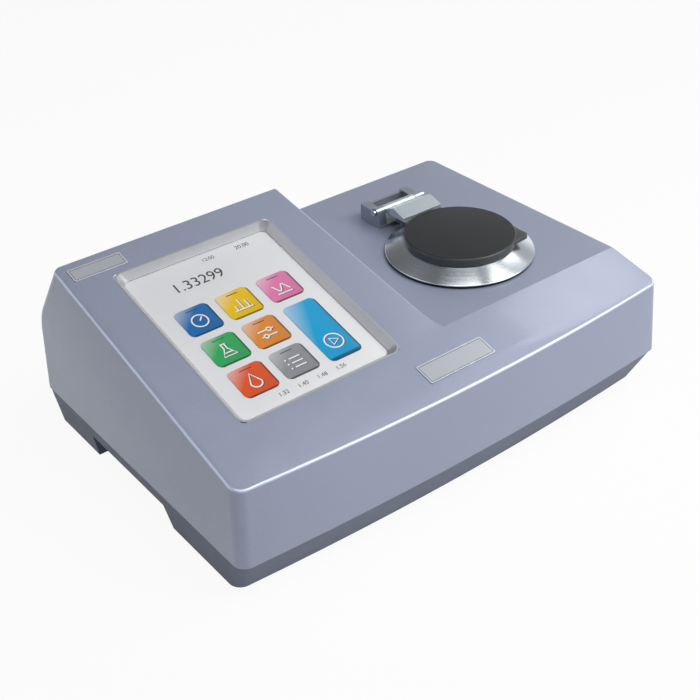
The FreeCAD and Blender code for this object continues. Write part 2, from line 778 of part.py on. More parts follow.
bracket_screw_across = panel_half_width + wall + post_radius + 1
bracket_screw_along = panel_half_length - bracket_screw_end


def bracket_screw_spots():
    spots = []
    for side in (-1, 1):
        for end in (-1, 1):
            spots.append((panel_side + side * bracket_screw_across, panel_along + end * bracket_screw_along))
    return spots


case_screw_spots = [
    (side * post_side, y) for side in (-1, 1) for y in (post_front, post_rear)
]
ear_inner = barrel_length / 2 + ear_gap
ear_middle = ear_inner + ear_thick / 2
hinge_screw_spots = [
    (stage_side + side * ear_middle, y)
    for side in (-1, 1)
    for y in (hinge_y + hinge_screw_front, hinge_y + hinge_screw_rear)
]
panel_screw_spots = [
    (x, fixture_level + side * panel_screw_pitch / 2)
    for x in (window_left - panel_ear / 2, window_right + panel_ear / 2)
    for side in (-1, 1)
]


def upper_housing():
    outside = housing_form("housing_outside", as_size(0))
    round_edges(outside, deck_round, bounds_wall_foot)
    round_edges(outside, edge_round, bounds_top)
    inside = housing_form("housing_inside", wall)
    kept = [panel_plate(
        "panel_frame",
        panel_half_width + fit + wall,
        panel_half_length + fit + wall,
        panel_back,
        -panel_back,
    )]
    for number, (across, along) in enumerate(bracket_screw_spots()):
        name = f"bracket_post{number}"
        kept.append(slope_rod(name, across, along, post_radius, lcd_back, -lcd_back))
    for number, (x, y) in enumerate(case_screw_spots):
        kept.append(rod(f"case_post{number}", x, y, parting_level, post_radius, post_height))
        low_x = x if x.value > 0 else x - (half_width - post_side)
        rib = half_width - post_side
        kept.append(box(
            f"case_rib{number}", low_x, y - post_rib / 2, parting_level, rib, post_rib, post_height
        ))
    hollow = cut("housing_hollow", inside, *kept)
    cutters = [hollow, bevel_cutter(), panel_plate(
        "panel_pocket",
        panel_half_width + fit,
        panel_half_length + fit,
        panel_back - 1,
        -panel_back - bevel_depth + 1,
    )]
    cutters.append(slope_plate(
        "front_badge_seat", front_badge_side, front_badge_along,
        front_badge_width / 2 + fit, front_badge_length / 2 + fit, -badge_sunk, 2,
    ))
    cutters.append(slope_plate(
        "corner_badge_seat", corner_badge_side, corner_badge_along,
        corner_badge_width / 2 + fit, corner_badge_length / 2 + fit, -badge_sunk, 2,
    ))
    for number, (across, along) in enumerate(bracket_screw_spots()):
        name = f"bracket_hole{number}"
        cutters.append(slope_rod(name, across, along, small_screw + fit, lcd_back - 1, as_size(8)))
    for number, (x, y) in enumerate(case_screw_spots):
        hole = rod(f"case_hole{number}", x, y, parting_level - 1, case_screw + fit, post_height - 2)
        cutters.append(hole)
    cutters.append(rod(
        "stage_hole", stage_side, stage_y, deck_level - wall - 2, skirt_radius + 0.3, wall + 4
    ))
    for number, (x, y) in enumerate(hinge_screw_spots):
        hole = rod(f"hinge_hole{number}", x, y, deck_level - wall - 2, small_screw + fit, wall + 4)
        cutters.append(hole)
    cutters.append(box(
        "rear_window", window_left, rear_wall - 2, window_low,
        window_right - window_left, wall + 4, window_high - window_low,
    ))
    for number, (x, z) in enumerate(panel_screw_spots):
        cutters.append(rod(f"panel_hole{number}", x, rear_wall - 2, z, small_screw + fit, wall + 4, "Y"))
        sink = half_depth - small_head_high - fit
        cutters.append(rod(f"panel_sink{number}", x, sink, z, small_head + fit, wall, "Y"))
    return piece("upper_housing", cut("upper_housing_cut", outside, *cutters))


def tray_form(name, inset, low):
    """Tapered lower case between the given level and the parting line."""
    body = new_body(name)
    run = parting_level - foot_proud
    sections = []
    high = parting_level + inset / wall
    for level in (low, high):
        share = (parting_level - level) / run
        half = half_width - parting_step - base_side_inset * share - inset
        front = base_front_inset * share + parting_step + inset - half_depth
        rear = half_depth - parting_step - base_rear_inset * share - inset
        round_front = front_corner - inset
        round_rear = rear_corner - inset
        sections.append(plan_outline(body, level, half, front, rear, round_front, round_rear))
    loft(body, sections[0], sections[1])
    return body


grip_top = foot_proud + grip_height
foot_spots = [(side * foot_side, y) for side in (-1, 1) for y in (foot_front, foot_rear)]
bench_post_side = bench_width / 2 - 8
bench_post_spots = [
    (stage_side + side * bench_post_side, y)
    for side in (-1, 1)
    for y in (bench_front + 8, bench_rear - 8)
]


def grip_cutter(name, side):
    """Hand hold under one side of the case."""
    body = new_body(name)
    profile = [
        (grip_front - grip_slant / grip_height * 2, foot_proud - 2),
        (grip_rear, foot_proud - 2),
        (grip_rear, grip_top),
        (grip_front + grip_slant, grip_top),
    ]
    reach = grip_depth + 10
    pad(body, outline(sketch_on(body, "YZ_Plane"), profile), reach)
    return place(body, half_width - grip_depth if side > 0 else -half_width - 10)


def grip_liner(name, side):
    low_x = half_width - grip_depth - wall if side > 0 else -half_width
    return box(
        name, low_x, grip_front - wall, floor_level - 2,
        grip_depth + wall, grip_rear - grip_front + 2 * wall, grip_top + wall - floor_level + 2,
    )


def lower_case():
    outside = tray_form("tray_outside", as_size(0), foot_proud)
    inside = tray_form("tray_inside", wall, floor_level)
    kept = [grip_liner("grip_liner_left", -1), grip_liner("grip_liner_right", 1)]
    for number, (x, y) in enumerate(case_screw_spots):
        kept.append(rod(f"case_boss{number}", x, y, floor_level - 1, boss_radius, parting_level - floor_level + 1))
    for number, (x, y) in enumerate(bench_post_spots):
        kept.append(rod(f"bench_post{number}", x, y, floor_level - 1, post_radius, bench_level - floor_level + 1))
    hollow = cut("tray_hollow", inside, *kept)
    cutters = [hollow, grip_cutter("grip_left", -1), grip_cutter("grip_right", 1)]
    for number, (x, y) in enumerate(case_screw_spots):
        sink_top = foot_proud + case_head_sunk + case_head_high
        cutters.append(rod(f"case_sink{number}", x, y, 0, case_head + fit, sink_top))
        cutters.append(rod(f"case_way{number}", x, y, 0, case_screw + fit, parting_level + 2))
    for number, (x, y) in enumerate(bench_post_spots):
        low = bench_level - bench_tap
        cutters.append(rod(f"bench_way{number}", x, y, low, small_screw + fit, bench_tap + past))
    for number, (x, y) in enumerate(foot_spots):
        cutters.append(rod(f"foot_seat{number}", x, y, foot_proud - 1, foot_radius + fit, foot_sunk + 1))
    for number in range(7):
        slot_x = stage_side + (number - 3) * vent_pitch
        cutters.append(centred_box(
            f"vent{number}", slot_x, stage_y + vent_shift, 0, vent_width, vent_length, floor_level + past
        ))
    return piece("lower_case", cut("lower_case_cut", outside, *cutters))


def case_fasteners():
    screws = []
    head_level = foot_proud + case_head_sunk
    for number, (x, y) in enumerate(case_screw_spots):
        head = rod(f"case_cap{number}", x, y, head_level, case_head, case_head_high)
        top = head_level + case_head_high
        length = parting_level + post_height - post_screw_end - top
        shank = rod(f"case_shank{number}", x, y, top, case_screw, length)
        screws.append(fuse(f"case_screw{number}", head, shank))
    piece("case_screws", group("case_screw_set", *screws))
    feet = []
    for number, (x, y) in enumerate(foot_spots):
        feet.append(rod(f"foot{number}", x, y, 0, foot_radius, foot_proud + foot_sunk))
    piece("rubber_feet", group("foot_set", *feet))


def badges():
    front = slope_plate(
        "front_badge_plate", front_badge_side, front_badge_along,
        front_badge_width / 2, front_badge_length / 2, -badge_sunk, badge_thick, as_size(1),
    )
    piece("front_badge", front)
    corner = slope_plate(
        "corner_badge_plate", corner_badge_side, corner_badge_along,
        corner_badge_width / 2, corner_badge_length / 2, -badge_sunk, badge_thick, as_size(1),
    )
    piece("corner_badge", corner)


# Touch panel and display behind it

lcd_plug_low = lcd_board_top - board_thick - lcd_plug_high
lcd_plug_along = panel_along - ribbon_back
ribbon_x = panel_side + ribbon_side
ribbon_y = (lcd_plug_along - lcd_plug_low * slope) / slope_length - half_depth


def display():
    glass = panel_plate(
        "touch_glass", panel_half_width, panel_half_length, panel_back, touch_thick, as_size(2)
    )
    piece("touch_panel", glass)
    rim = panel_plate(
        "gasket_outside", panel_half_width, panel_half_length, panel_front, gasket_thick
    )
    view = panel_plate(
        "gasket_inside", film_width / 2, film_length / 2, panel_front - 1, gasket_thick + 2
    )
    piece("panel_gasket", cut("gasket_cut", rim, view))
    module = panel_plate(
        "lcd_block", panel_half_width - lcd_margin, panel_half_length - lcd_margin,
        lcd_back, lcd_thick, as_size(1),
    )
    piece("lcd_module", module)

    sheet = panel_plate(
        "bracket_sheet", bracket_screw_across + post_radius, panel_half_length - bracket_end,
        bracket_back, bracket_thick, bracket_corner,
    )
    spacers = []
    for side in (-1, 1):
        for end in (-1, 1):
            spacers.append(slope_rod(
                f"bracket_spacer{side + 1}{end + 1}", panel_side + side * spacer_across,
                panel_along + end * spacer_along, spacer_radius, lcd_board_top, lcd_board_gap,
            ))
    holes = []
    for number, (across, along) in enumerate(bracket_screw_spots()):
        name = f"bracket_way{number}"
        holes.append(slope_rod(name, across, along, small_screw + fit, bracket_back - 1, bracket_thick + 2))
    window = panel_plate(
        "bracket_window", bracket_open / 2, bracket_open_long / 2,
        bracket_back - past, bracket_thick + 2 * past, bracket_corner,
    )
    bracket = fuse("bracket_joined", sheet, *spacers)
    piece("lcd_bracket", cut("bracket_cut", bracket, window, *holes))

    board = panel_plate(
        "lcd_board_sheet", lcd_board_width / 2, lcd_board_length / 2,
        lcd_board_top - board_thick, board_thick,
    )
    chips = [
        slope_plate(
            "lcd_chip", panel_side - lcd_chip_size, panel_along, lcd_chip_size / 2, lcd_chip_size / 2,
            lcd_board_top - board_thick - lcd_chip_high, lcd_chip_high,
        ),
        slope_plate(
            "lcd_plug", ribbon_x, lcd_plug_along, ribbon_width / 2 + lcd_margin, plug_depth / 2,
            lcd_plug_low, lcd_plug_high,
        ),
    ]
    piece("lcd_board", fuse("lcd_board_joined", board, *chips))

    screws = []
    for number, (across, along) in enumerate(bracket_screw_spots()):
        shank = slope_rod(
            f"lcd_shank{number}", across, along, small_screw, bracket_back, bracket_thick + small_hold
        )
        head = slope_rod(
            f"lcd_head{number}", across, along, small_head, bracket_back - small_head_high, small_head_high
        )
        screws.append(fuse(f"lcd_screw{number}", shank, head))
    piece("lcd_screws", group("lcd_screw_set", *screws))


# Sample stage

def at_stage(body, level=deck_level):
    return place(body, stage_side, stage_y, level)


def sample_stage():
    crown_inner = ring_crown - ring_flat
    skirt_inner = skirt_radius - skirt_thick
    skirt_low = -(wall + 0.3)
    under_crown = ring_high - ring_thick
    rim_low = ring_gasket
    profile = [
        (well_radius, well_floor - ring_thick),
        (crown_inner, under_crown),
        (skirt_inner, under_crown),
        (skirt_inner, skirt_low),
        (skirt_radius, skirt_low),
        (skirt_radius, rim_low),
        (ring_radius, rim_low),
        (ring_radius, rim_low + ring_edge),
        (ring_crown, ring_high),
        (crown_inner, ring_high),
        (well_radius, well_floor),
    ]
    ring = at_stage(turned("ring_turned", profile))
    screw_radius = skirt_radius - skirt_thick / 2
    holes = []
    screws = []
    for number in range(3):
        angle = math.radians(90 + 120 * number)
        x = stage_side + screw_radius * math.cos(angle)
        y = stage_y + screw_radius * math.sin(angle)
        under = deck_level + skirt_low - retainer_thick
        hole_top = retainer_thick + 7
        holes.append(rod(f"stage_hole{number}", x, y, under - 1, 1.2 + fit, hole_top + 1))
        shank = rod(f"stage_shank{number}", x, y, under, 1.2, hole_top - 1)
        head = rod(f"stage_head{number}", x, y, under - small_head_high, small_head, small_head_high)
        screws.append(fuse(f"stage_screw{number}", shank, head))
    piece("stage_ring", cut("ring_cut", ring, *holes))
    piece("stage_screws", group("stage_screw_set", *screws))
    lower = [
        (retainer_inner, skirt_low - retainer_thick),
        (retainer_radius, skirt_low - retainer_thick),
        (retainer_radius, skirt_low),
        (retainer_inner, skirt_low),
    ]
    retainer = at_stage(turned("retainer_turned", lower))
    ways = []
    for number in range(3):
        angle = math.radians(90 + 120 * number)
        x = stage_side + screw_radius * math.cos(angle)
        y = stage_y + screw_radius * math.sin(angle)
        low = deck_level + skirt_low - retainer_thick - 1
        ways.append(rod(f"retainer_way{number}", x, y, low, 1.2 + fit, retainer_thick + 2))
    piece("stage_retainer", cut("retainer_cut", retainer, *ways))
    seal = [
        (skirt_radius + 0.5, 0),
        (ring_radius - 0.6, 0),
        (ring_radius - 0.6, ring_gasket),
        (skirt_radius + 0.5, ring_gasket),
    ]
    piece("stage_gasket", at_stage(turned("stage_gasket_turned", seal)))


# Sample cover and its hinge

def sample_cover():
    rim_inner = cover_radius - cover_rim
    under = cover_top - cover_thick
    rim_low = ring_high + cover_gap
    profile = [
        (0, under),
        (rim_inner, under),
        (rim_inner, rim_low),
        (cover_radius, rim_low),
        (cover_radius, cover_top - cover_bevel),
        (cover_radius - cover_bevel, cover_top),
        (0, cover_top),
    ]
    disc = at_stage(turned("cover_disc", profile))
    tab = new_body("cover_tab")
    root_x = root(cover_radius * cover_radius - tab_width * tab_width / 4) - cover_bevel
    neck_x = cover_radius + (tab_reach - cover_radius) / 3
    tab_points = [
        (root_x, -tab_width / 2),
        (neck_x, -tab_neck / 2),
        (tab_reach, -tab_tip / 2),
        (tab_reach, tab_tip / 2),
        (neck_x, tab_neck / 2),
        (root_x, tab_width / 2),
    ]
    tab_sketch = sketch_on(tab, "XY_Plane", cover_top - cover_bevel - tab_thick)
    pad(tab, outline(tab_sketch, tab_points), tab_thick)
    place(tab, stage_side, stage_y, deck_level, (0, 0, 1), tab_turn)
    tongue_top = deck_level + cover_top - cover_thick + tongue_lift
    tongue_front = pad_radius + 0.5
    tongue = box(
        "cover_tongue", stage_side - tongue_width / 2, stage_y + tongue_front, tongue_top - tongue_thick,
        tongue_width, tongue_rear - tongue_front, tongue_thick,
    )
    ways = []
    screws = []
    screw_y = stage_y + (cover_radius + tongue_rear) / 2
    for number, side in enumerate((-1, 1)):
        x = stage_side + side * tongue_width / 4
        low = tongue_top - tongue_thick
        ways.append(rod(f"cover_way{number}", x, screw_y, low - 1, small_screw + fit, tongue_thick + 2))
        shank = rod(f"cover_shank{number}", x, screw_y, low, small_screw, tongue_thick + arm_thick - 1)
        head = rod(f"cover_head{number}", x, screw_y, low - small_head_high, small_head, small_head_high)
        screws.append(fuse(f"cover_screw{number}", shank, head))
    shell = fuse("cover_joined", disc, tab, tongue)
    piece("sample_cover", cut("cover_cut", shell, *ways))
    piece("cover_screws", group("cover_screw_set", *screws))
    pad_profile = [(0, under - pad_thick), (pad_radius, under - pad_thick), (pad_radius, under), (0, under)]
    piece("cover_pad", at_stage(turned("pad_turned", pad_profile)))
    return tongue_top


def cover_arm(tongue_top, axis_z):
    """Cast arm: a wedge that rises behind the cover and a narrower neck down to the barrel."""
    front = stage_y + cover_radius + arm_gap
    ridge = stage_y + arm_ridge
    behind = stage_y + tongue_rear + arm_gap
    low = axis_z - arm_low
    ridge_high = deck_level + arm_ridge_high
    drop = (ridge_high - low - arm_thick) / (hinge_y - barrel_radius - ridge)
    back = stage_y + arm_back
    back_high = ridge_high - drop * (back - ridge)
    wedge = new_body("arm_wedge")
    wedge_profile = [
        (front, tongue_top),
        (back, tongue_top),
        (back, back_high),
        (ridge, ridge_high),
        (front, deck_level + arm_front_high),
    ]
    pad(wedge, outline(sketch_on(wedge, "YZ_Plane"), wedge_profile), tongue_width, middle=True)
    neck = new_body("arm_neck_body")
    neck_profile = [
        (behind, low),
        (hinge_y, low),
        (hinge_y, low + arm_thick),
        (hinge_y - barrel_radius, low + arm_thick),
        (back, back_high),
        (behind, tongue_top + arm_thick / 2),
    ]
    pad(neck, outline(sketch_on(neck, "YZ_Plane"), neck_profile), arm_neck, middle=True)
    barrel = rod(
        "arm_barrel", stage_side - barrel_length / 2, hinge_y, axis_z, barrel_radius, barrel_length, "X"
    )
    bore = rod(
        "arm_bore", stage_side - barrel_length, hinge_y, axis_z,
        pin_radius + pin_fit, 2 * barrel_length, "X",
    )
    screw_y = stage_y + (cover_radius + tongue_rear) / 2
    taps = []
    for number, side in enumerate((-1, 1)):
        x = stage_side + side * tongue_width / 4
        taps.append(rod(
            f"arm_tap{number}", x, screw_y, tongue_top - past, small_screw + fit, arm_thick
        ))
    joined = fuse("arm_joined", place(wedge, stage_side), place(neck, stage_side), barrel)
    return piece("cover_arm", cut("arm_cut", joined, bore, *taps))


def hinge_bracket(axis_z, ear_outer):
    """Base, a low rear wall and two deep ears that hold the pin at their front."""
    rear = hinge_y + ear_rear
    base = box(
        "hinge_base", stage_side - ear_outer, hinge_y - ear_front, deck_level,
        2 * ear_outer, ear_front + ear_rear, hinge_base_thick,
    )
    wall_behind = box(
        "hinge_wall", stage_side - ear_outer, rear - hinge_base_thick, deck_level,
        2 * ear_outer, hinge_base_thick, hinge_wall_high,
    )
    parts = [base, wall_behind]
    for number, low_x in enumerate((stage_side - ear_outer, stage_side + ear_inner)):
        ear = new_body(f"hinge_ear{number}")
        ear_profile = [
            (hinge_y - ear_front, deck_level),
            (rear, deck_level),
            (rear, deck_level + ear_top),
            (hinge_y + ear_rise, deck_level + ear_top),
            (hinge_y + ear_round, axis_z),
            (hinge_y - ear_round, axis_z),
        ]
        pad(ear, outline(sketch_on(ear, "YZ_Plane"), ear_profile), ear_thick)
        parts.append(place(ear, low_x))
        parts.append(rod(f"hinge_eye{number}", low_x, hinge_y, axis_z, ear_round, ear_thick, "X"))
    ways = [rod(
        "hinge_way", stage_side - 2 * ear_outer, hinge_y, axis_z,
        pin_radius + pin_fit, 4 * ear_outer, "X",
    )]
    for number, (x, y) in enumerate(hinge_screw_spots):
        tap = hinge_screw_reach + 2 * past
        ways.append(rod(f"bracket_drill{number}", x, y, deck_level - past, small_screw + fit, tap))
    piece("hinge_bracket", cut("hinge_cut", fuse("hinge_joined", *parts), *ways))


def hinge(tongue_top):
    axis_z = deck_level + hinge_high
    ear_outer = ear_inner + ear_thick
    cover_arm(tongue_top, axis_z)
    hinge_bracket(axis_z, ear_outer)
    screws = []
    for number, (x, y) in enumerate(hinge_screw_spots):
        under = deck_level - wall
        shank = rod(f"hinge_shank{number}", x, y, under, small_screw, wall + hinge_screw_reach)
        head = rod(f"hinge_head{number}", x, y, under - small_head_high, small_head, small_head_high)
        screws.append(fuse(f"hinge_screw{number}", shank, head))
    piece("hinge_screws", group("hinge_screw_set", *screws))
    half = ear_outer + pin_end_gap
    pin = rod("pin_rod", stage_side - half, hinge_y, axis_z, pin_radius, 2 * half, "X")
    heads = []
    for number, start in enumerate((stage_side - half - pin_head_long, stage_side + half)):
        heads.append(rod(f"pin_head{number}", start, hinge_y, axis_z, pin_head, pin_head_long, "X"))
    piece("hinge_pin", fuse("pin_joined", pin, *heads))


# Prism, lamp and sensor

def on_beam(body, side):
    """Frame whose Z runs down along the lamp (-1) or sensor (+1) axis."""
    turn = side * (180 - beam_angle)
    return place(body, stage_side, stage_y, beam_root, (0, 1, 0), turn)


def tube_profile(inner, outer, start, end):
    return [(inner, start), (outer, start), (outer, end), (inner, end)]


def prism_unit():
    reach = beam_reach
    lean_sin = sine(beam_angle)
    lean_cos = cosine(beam_angle)
    upper_x = reach * lean_sin + face_half * lean_cos
    upper_z = beam_root - reach * lean_cos + face_half * lean_sin
    lower_x = reach * lean_sin - face_half * lean_cos
    lower_z = beam_root - reach * lean_cos - face_half * lean_sin
    block = new_body("holder_block")
    profile = [
        (-upper_x, holder_high),
        (-upper_x, upper_z),
        (-lower_x, lower_z),
        (lower_x, lower_z),
        (upper_x, upper_z),
        (upper_x, holder_high),
    ]
    sketch = outline(sketch_on(block, "XZ_Plane"), profile)
    pad(block, sketch, 2 * holder_half, middle=True)
    place(block, stage_side, stage_y)
    top = deck_level + prism_high
    cone_top = top - prism_edge
    point = cone_top - (prism_radius - prism_point)
    below = point - small_hold
    neck = rod(
        "holder_neck", stage_side, stage_y, holder_high - 1, well_radius - fit, top - holder_high + 1
    )
    seat = [
        (0, below),
        (prism_point + fit, below),
        (prism_point + fit, point - fit),
        (prism_radius + fit, cone_top - fit),
        (prism_radius + seal_thick, cone_top - fit),
        (prism_radius + seal_thick, top + 1),
        (0, top + 1),
    ]
    tools = [at_stage(turned("prism_seat", seat), 0)]
    start = reach - seat_depth
    for number, side in enumerate((-1, 1)):
        tools.append(on_beam(turned(f"beam_way{number}", tube_profile(0, light_hole, 2, start + 1)), side))
        bore = tube_profile(0, tube_radius + fit, start, reach + 20)
        tools.append(on_beam(turned(f"beam_bore{number}", bore), side))
    holder = fuse("holder_joined", block, neck)
    piece("prism_holder", cut("holder_cut", holder, *tools))
    prism = [
        (0, point),
        (prism_point, point),
        (prism_radius, cone_top),
        (prism_radius, top),
        (0, top),
    ]
    piece("prism", at_stage(turned("prism_turned", prism), 0))
    seal = tube_profile(prism_radius, prism_radius + seal_thick, cone_top - fit, top)
    piece("prism_seal", at_stage(turned("prism_seal_turned", seal), 0))


def lens(name, side, start):
    """Lens with one flat and one bulging face, across the inside of a barrel."""
    rim = tube_radius - tube_wall
    edge = lens_thick / 2
    bulge = lens_thick - edge
    bend = (rim * rim + bulge * bulge) / (2 * bulge)
    top = start + lens_thick
    body = new_body(name)
    profile = [(0, top), (rim, start + edge), (rim, start), (0, start)]
    sketch = outline(sketch_on(body, "XZ_Plane"), profile, {0: (0, top - bend, bend)})
    feature = body.newObject("PartDesign::Revolution", name + "_turn")
    feature.Profile = sketch
    feature.ReferenceAxis = (sketch, ["V_Axis"])
    feature.Angle = 360
    return on_beam(body, side)


def optics():
    start = beam_reach - seat_depth
    end = start + tube_length
    bore = tube_radius - tube_wall
    for name, side in (("lamp_barrel", -1), ("sensor_barrel", 1)):
        profile = tube_profile(bore, tube_radius, start, end)
        piece(name, on_beam(turned(name + "_turned", profile), side))
    piece("condenser_lens", lens("condenser_turned", -1, start + 4))
    filter_start = start + 4 + lens_thick + 4
    glass = tube_profile(0, bore, filter_start, filter_start + filter_thick)
    piece("light_filter", on_beam(turned("filter_turned", glass), -1))
    piece("objective_lens", lens("objective_turned", 1, start + 12))
    lamp = [
        (0, end - 6),
        (2.4, end - 6),
        (2.4, end),
        (tube_radius + 3, end),
        (tube_radius + 3, end + board_thick),
        (0, end + board_thick),
    ]
    piece("lamp_board", on_beam(turned("lamp_turned", lamp), -1))
    board_half = tube_radius + 4
    board = plate("sensor_sheet", -board_half, -board_half, board_half, board_half, end, board_thick, as_size(1))
    piece("sensor_board", on_beam(board, 1))
    chip = plate("sensor_chip", as_size(-6), as_size(-2.5), as_size(6), as_size(2.5), end - 2, as_size(2))
    piece("image_sensor", on_beam(chip, 1))


def optical_bench():
    base = box(
        "bench_base", stage_side - bench_width / 2, bench_front, bench_level,
        bench_width, bench_rear - bench_front, bench_thick,
    )
    holder_front = stage_y - holder_half
    pillar_front = holder_front - pillar_thick
    pillar_half = beam_reach * sine(beam_angle) + face_half * cosine(beam_angle)
    bench_top = bench_level + bench_thick
    pillar = box(
        "bench_pillar", stage_side - pillar_half, pillar_front, bench_top - 1,
        2 * pillar_half, pillar_thick, holder_high - bench_top - 1,
    )
    parts = [base, pillar]
    for number, x in enumerate((stage_side - pillar_half, stage_side + pillar_half - rib_thick)):
        rib = new_body(f"bench_rib{number}")
        profile = [
            (bench_front + 2, bench_top - 1),
            (pillar_front + 1, bench_top - 1),
            (pillar_front + 1, holder_high - 14),
        ]
        pad(rib, outline(sketch_on(rib, "YZ_Plane"), profile), rib_thick)
        place(rib, x)
        parts.append(rib)
    ways = []
    screws = []
    for number, (x, y) in enumerate(bench_post_spots):
        ways.append(rod(f"bench_drill{number}", x, y, bench_level - 1, small_screw + fit, bench_thick + 2))
        screws.append(screw_down(
            f"bench_screw{number}", x, y, bench_top, small_screw, small_head, small_head_high, bench_thick + 8
        ))
    piece("optical_bench", cut("bench_cut", fuse("bench_joined", *parts), *ways))
    piece("bench_screws", group("bench_screw_set", *screws))


def cooling():
    holder_rear = stage_y + holder_half
    cooler = box(
        "cooler_block", stage_side - cooler_width / 2, holder_rear, cooler_low,
        cooler_width, cooler_thick, holder_high - cooler_low - 1,
    )
    piece("peltier_cooler", cooler)
    sink_y = holder_rear + cooler_thick
    sink_tall = sink_high - sink_low
    parts = [box("sink_base", stage_side - sink_width / 2, sink_y, sink_low, sink_width, sink_plate, sink_tall)]
    fins = 9
    pitch = (sink_width - fin_thick) / (fins - 1)
    for number in range(fins):
        x = stage_side - sink_width / 2 + pitch * number
        parts.append(box(
            f"sink_fin{number}", x, sink_y + sink_plate - 0.5, sink_low, fin_thick, fin_length, sink_tall
        ))
    piece("heat_sink", fuse("sink_joined", *parts))


fan_rear = rear_wall - panel_thick
fan_front = fan_rear - fan_thick


def fan():
    half = fan_size / 2
    frame = box("fan_block", stage_side - half, fan_front, fan_level - half, fan_size, fan_thick, fan_size)
    duct = rod("fan_duct", stage_side, fan_front - 1, fan_level, duct_radius, fan_thick + 2, "Y")
    ring = cut("fan_ring", frame, duct)
    reach = duct_radius + 1
    struts = [
        box("fan_strut0", stage_side - reach, fan_front, fan_level - 1, 2 * reach, strut_thick, 2),
        box("fan_strut1", stage_side - 1, fan_front, fan_level - reach, 2, strut_thick, 2 * reach),
        rod("fan_seat", stage_side, fan_front, fan_level, hub_radius, strut_thick, "Y"),
        rod("fan_axle", stage_side, fan_front, fan_level, 1.5, fan_thick - 3, "Y"),
    ]
    ways = []
    screws = []
    spots = [(stage_side + side * 16, fan_level + end * 16) for side in (-1, 1) for end in (-1, 1)]
    for number, (x, z) in enumerate(spots):
        ways.append(rod(f"fan_way{number}", x, fan_front - 1, z, 1.5 + fit, fan_thick + 2, "Y"))
        shank = rod(f"fan_shank{number}", x, fan_front, z, 1.5, fan_thick + panel_thick, "Y")
        head = rod(f"fan_head{number}", x, rear_wall, z, 2.6, 1.4, "Y")
        screws.append(fuse(f"fan_screw{number}", shank, head))
    piece("fan_frame", cut("fan_cut", fuse("fan_joined", ring, *struts), *ways))
    piece("fan_screws", group("fan_screw_set", *screws))

    tip = duct_radius - blade_gap
    blade_high = fan_thick - strut_thick - 2.4
    blades = []
    count = 7
    for number in range(count):
        blade = DOC.addObject("Part::Box", f"blade{number}")
        bind(blade, "Length", tip - hub_radius + 3)
        bind(blade, "Width", 1.2)
        bind(blade, "Height", blade_high + 1)
        lean = FreeCAD.Placement(FreeCAD.Vector(0, 0, 0), FreeCAD.Rotation(FreeCAD.Vector(1, 0, 0), 32))
        start = FreeCAD.Vector(hub_radius.value - 2, 0, (-blade_high / 2).value)
        shift = FreeCAD.Placement(start, FreeCAD.Rotation())
        swing = FreeCAD.Rotation(FreeCAD.Vector(0, 0, 1), 360 / count * number)
        blade.Placement = FreeCAD.Placement(FreeCAD.Vector(0, 0, 0), swing) * shift * lean
        blades.append(blade)
    sweep = rod("blade_sweep", 0, 0, -blade_high / 2, tip, blade_high)
    trimmed = common("blades_trimmed", fuse("blades_joined", *blades), sweep)
    hub = rod("fan_hub", 0, 0, -blade_high / 2, hub_radius, blade_high)
    bore = rod("fan_bore", 0, 0, -blade_high, 1.5 + pin_fit, blade_high * 1.5)
    rotor = cut("rotor_cut", fuse("rotor_joined", trimmed, hub), bore)
    middle = fan_front + strut_thick + 1 + blade_high / 2
    place(rotor, stage_side, middle, fan_level, (1, 0, 0), -90)
    piece("fan_rotor", rotor)


# Rear panel and what it carries

def rear_panel():
    low = window_low - panel_lap / 2
    high = window_high + panel_lap / 2
    left = window_left - panel_ear
    sheet = box(
        "panel_sheet", left, fan_rear, low, window_right + panel_ear - left, panel_thick, high - low
    )
    tools = [
        centred_y("inlet_way", inlet_side, inlet_width, inlet_high),
        centred_y("switch_way", switch_side, switch_width, switch_high),
        centred_y("serial_way", serial_side, as_size(17), as_size(9)),
        centred_y("usb_way0", usb_side, as_size(14.4), as_size(6.9)),
        centred_y("usb_way1", usb_side + usb_pitch, as_size(14.4), as_size(6.9)),
    ]
    for number in range(7):
        step = 5 * (number - 3)
        chord = root(duct_radius * duct_radius * 0.9 - step * step)
        tools.append(box(
            f"grille{number}", stage_side - chord, fan_rear - 1, fan_level + step - 1.6,
            2 * chord, panel_thick + 2, 3.2,
        ))
    for number, (x, z) in enumerate(panel_screw_spots):
        tools.append(rod(f"panel_drill{number}", x, fan_rear - 1, z, small_screw + fit, panel_thick + 2, "Y"))
    for side in (-1, 1):
        for end in (-1, 1):
            x = stage_side + side * 16
            z = fan_level + end * 16
            name = f"fan_drill{side + 1}{end + 1}"
            tools.append(rod(name, x, fan_rear - 1, z, 1.5 + fit, panel_thick + 2, "Y"))
    piece("rear_panel", cut("panel_cut", sheet, *tools))
    screws = []
    for number, (x, z) in enumerate(panel_screw_spots):
        head_y = half_depth - small_head_high
        head = rod(f"panel_head{number}", x, head_y, z, small_head, small_head_high, "Y")
        shank_y = fan_rear - 2
        shank = rod(f"panel_shank{number}", x, shank_y, z, small_screw, head_y - shank_y, "Y")
        screws.append(fuse(f"panel_screw{number}", head, shank))
    piece("rear_panel_screws", group("panel_screw_set", *screws))


def centred_y(name, x, width, height, grow=0):
    """Through cutter in the rear panel, centred on the given side position."""
    return box(
        name, x - width / 2 - fit, fan_rear - 1, fixture_level - height / 2 - fit,
        width + 2 * fit, panel_thick + 2, height + 2 * fit,
    )


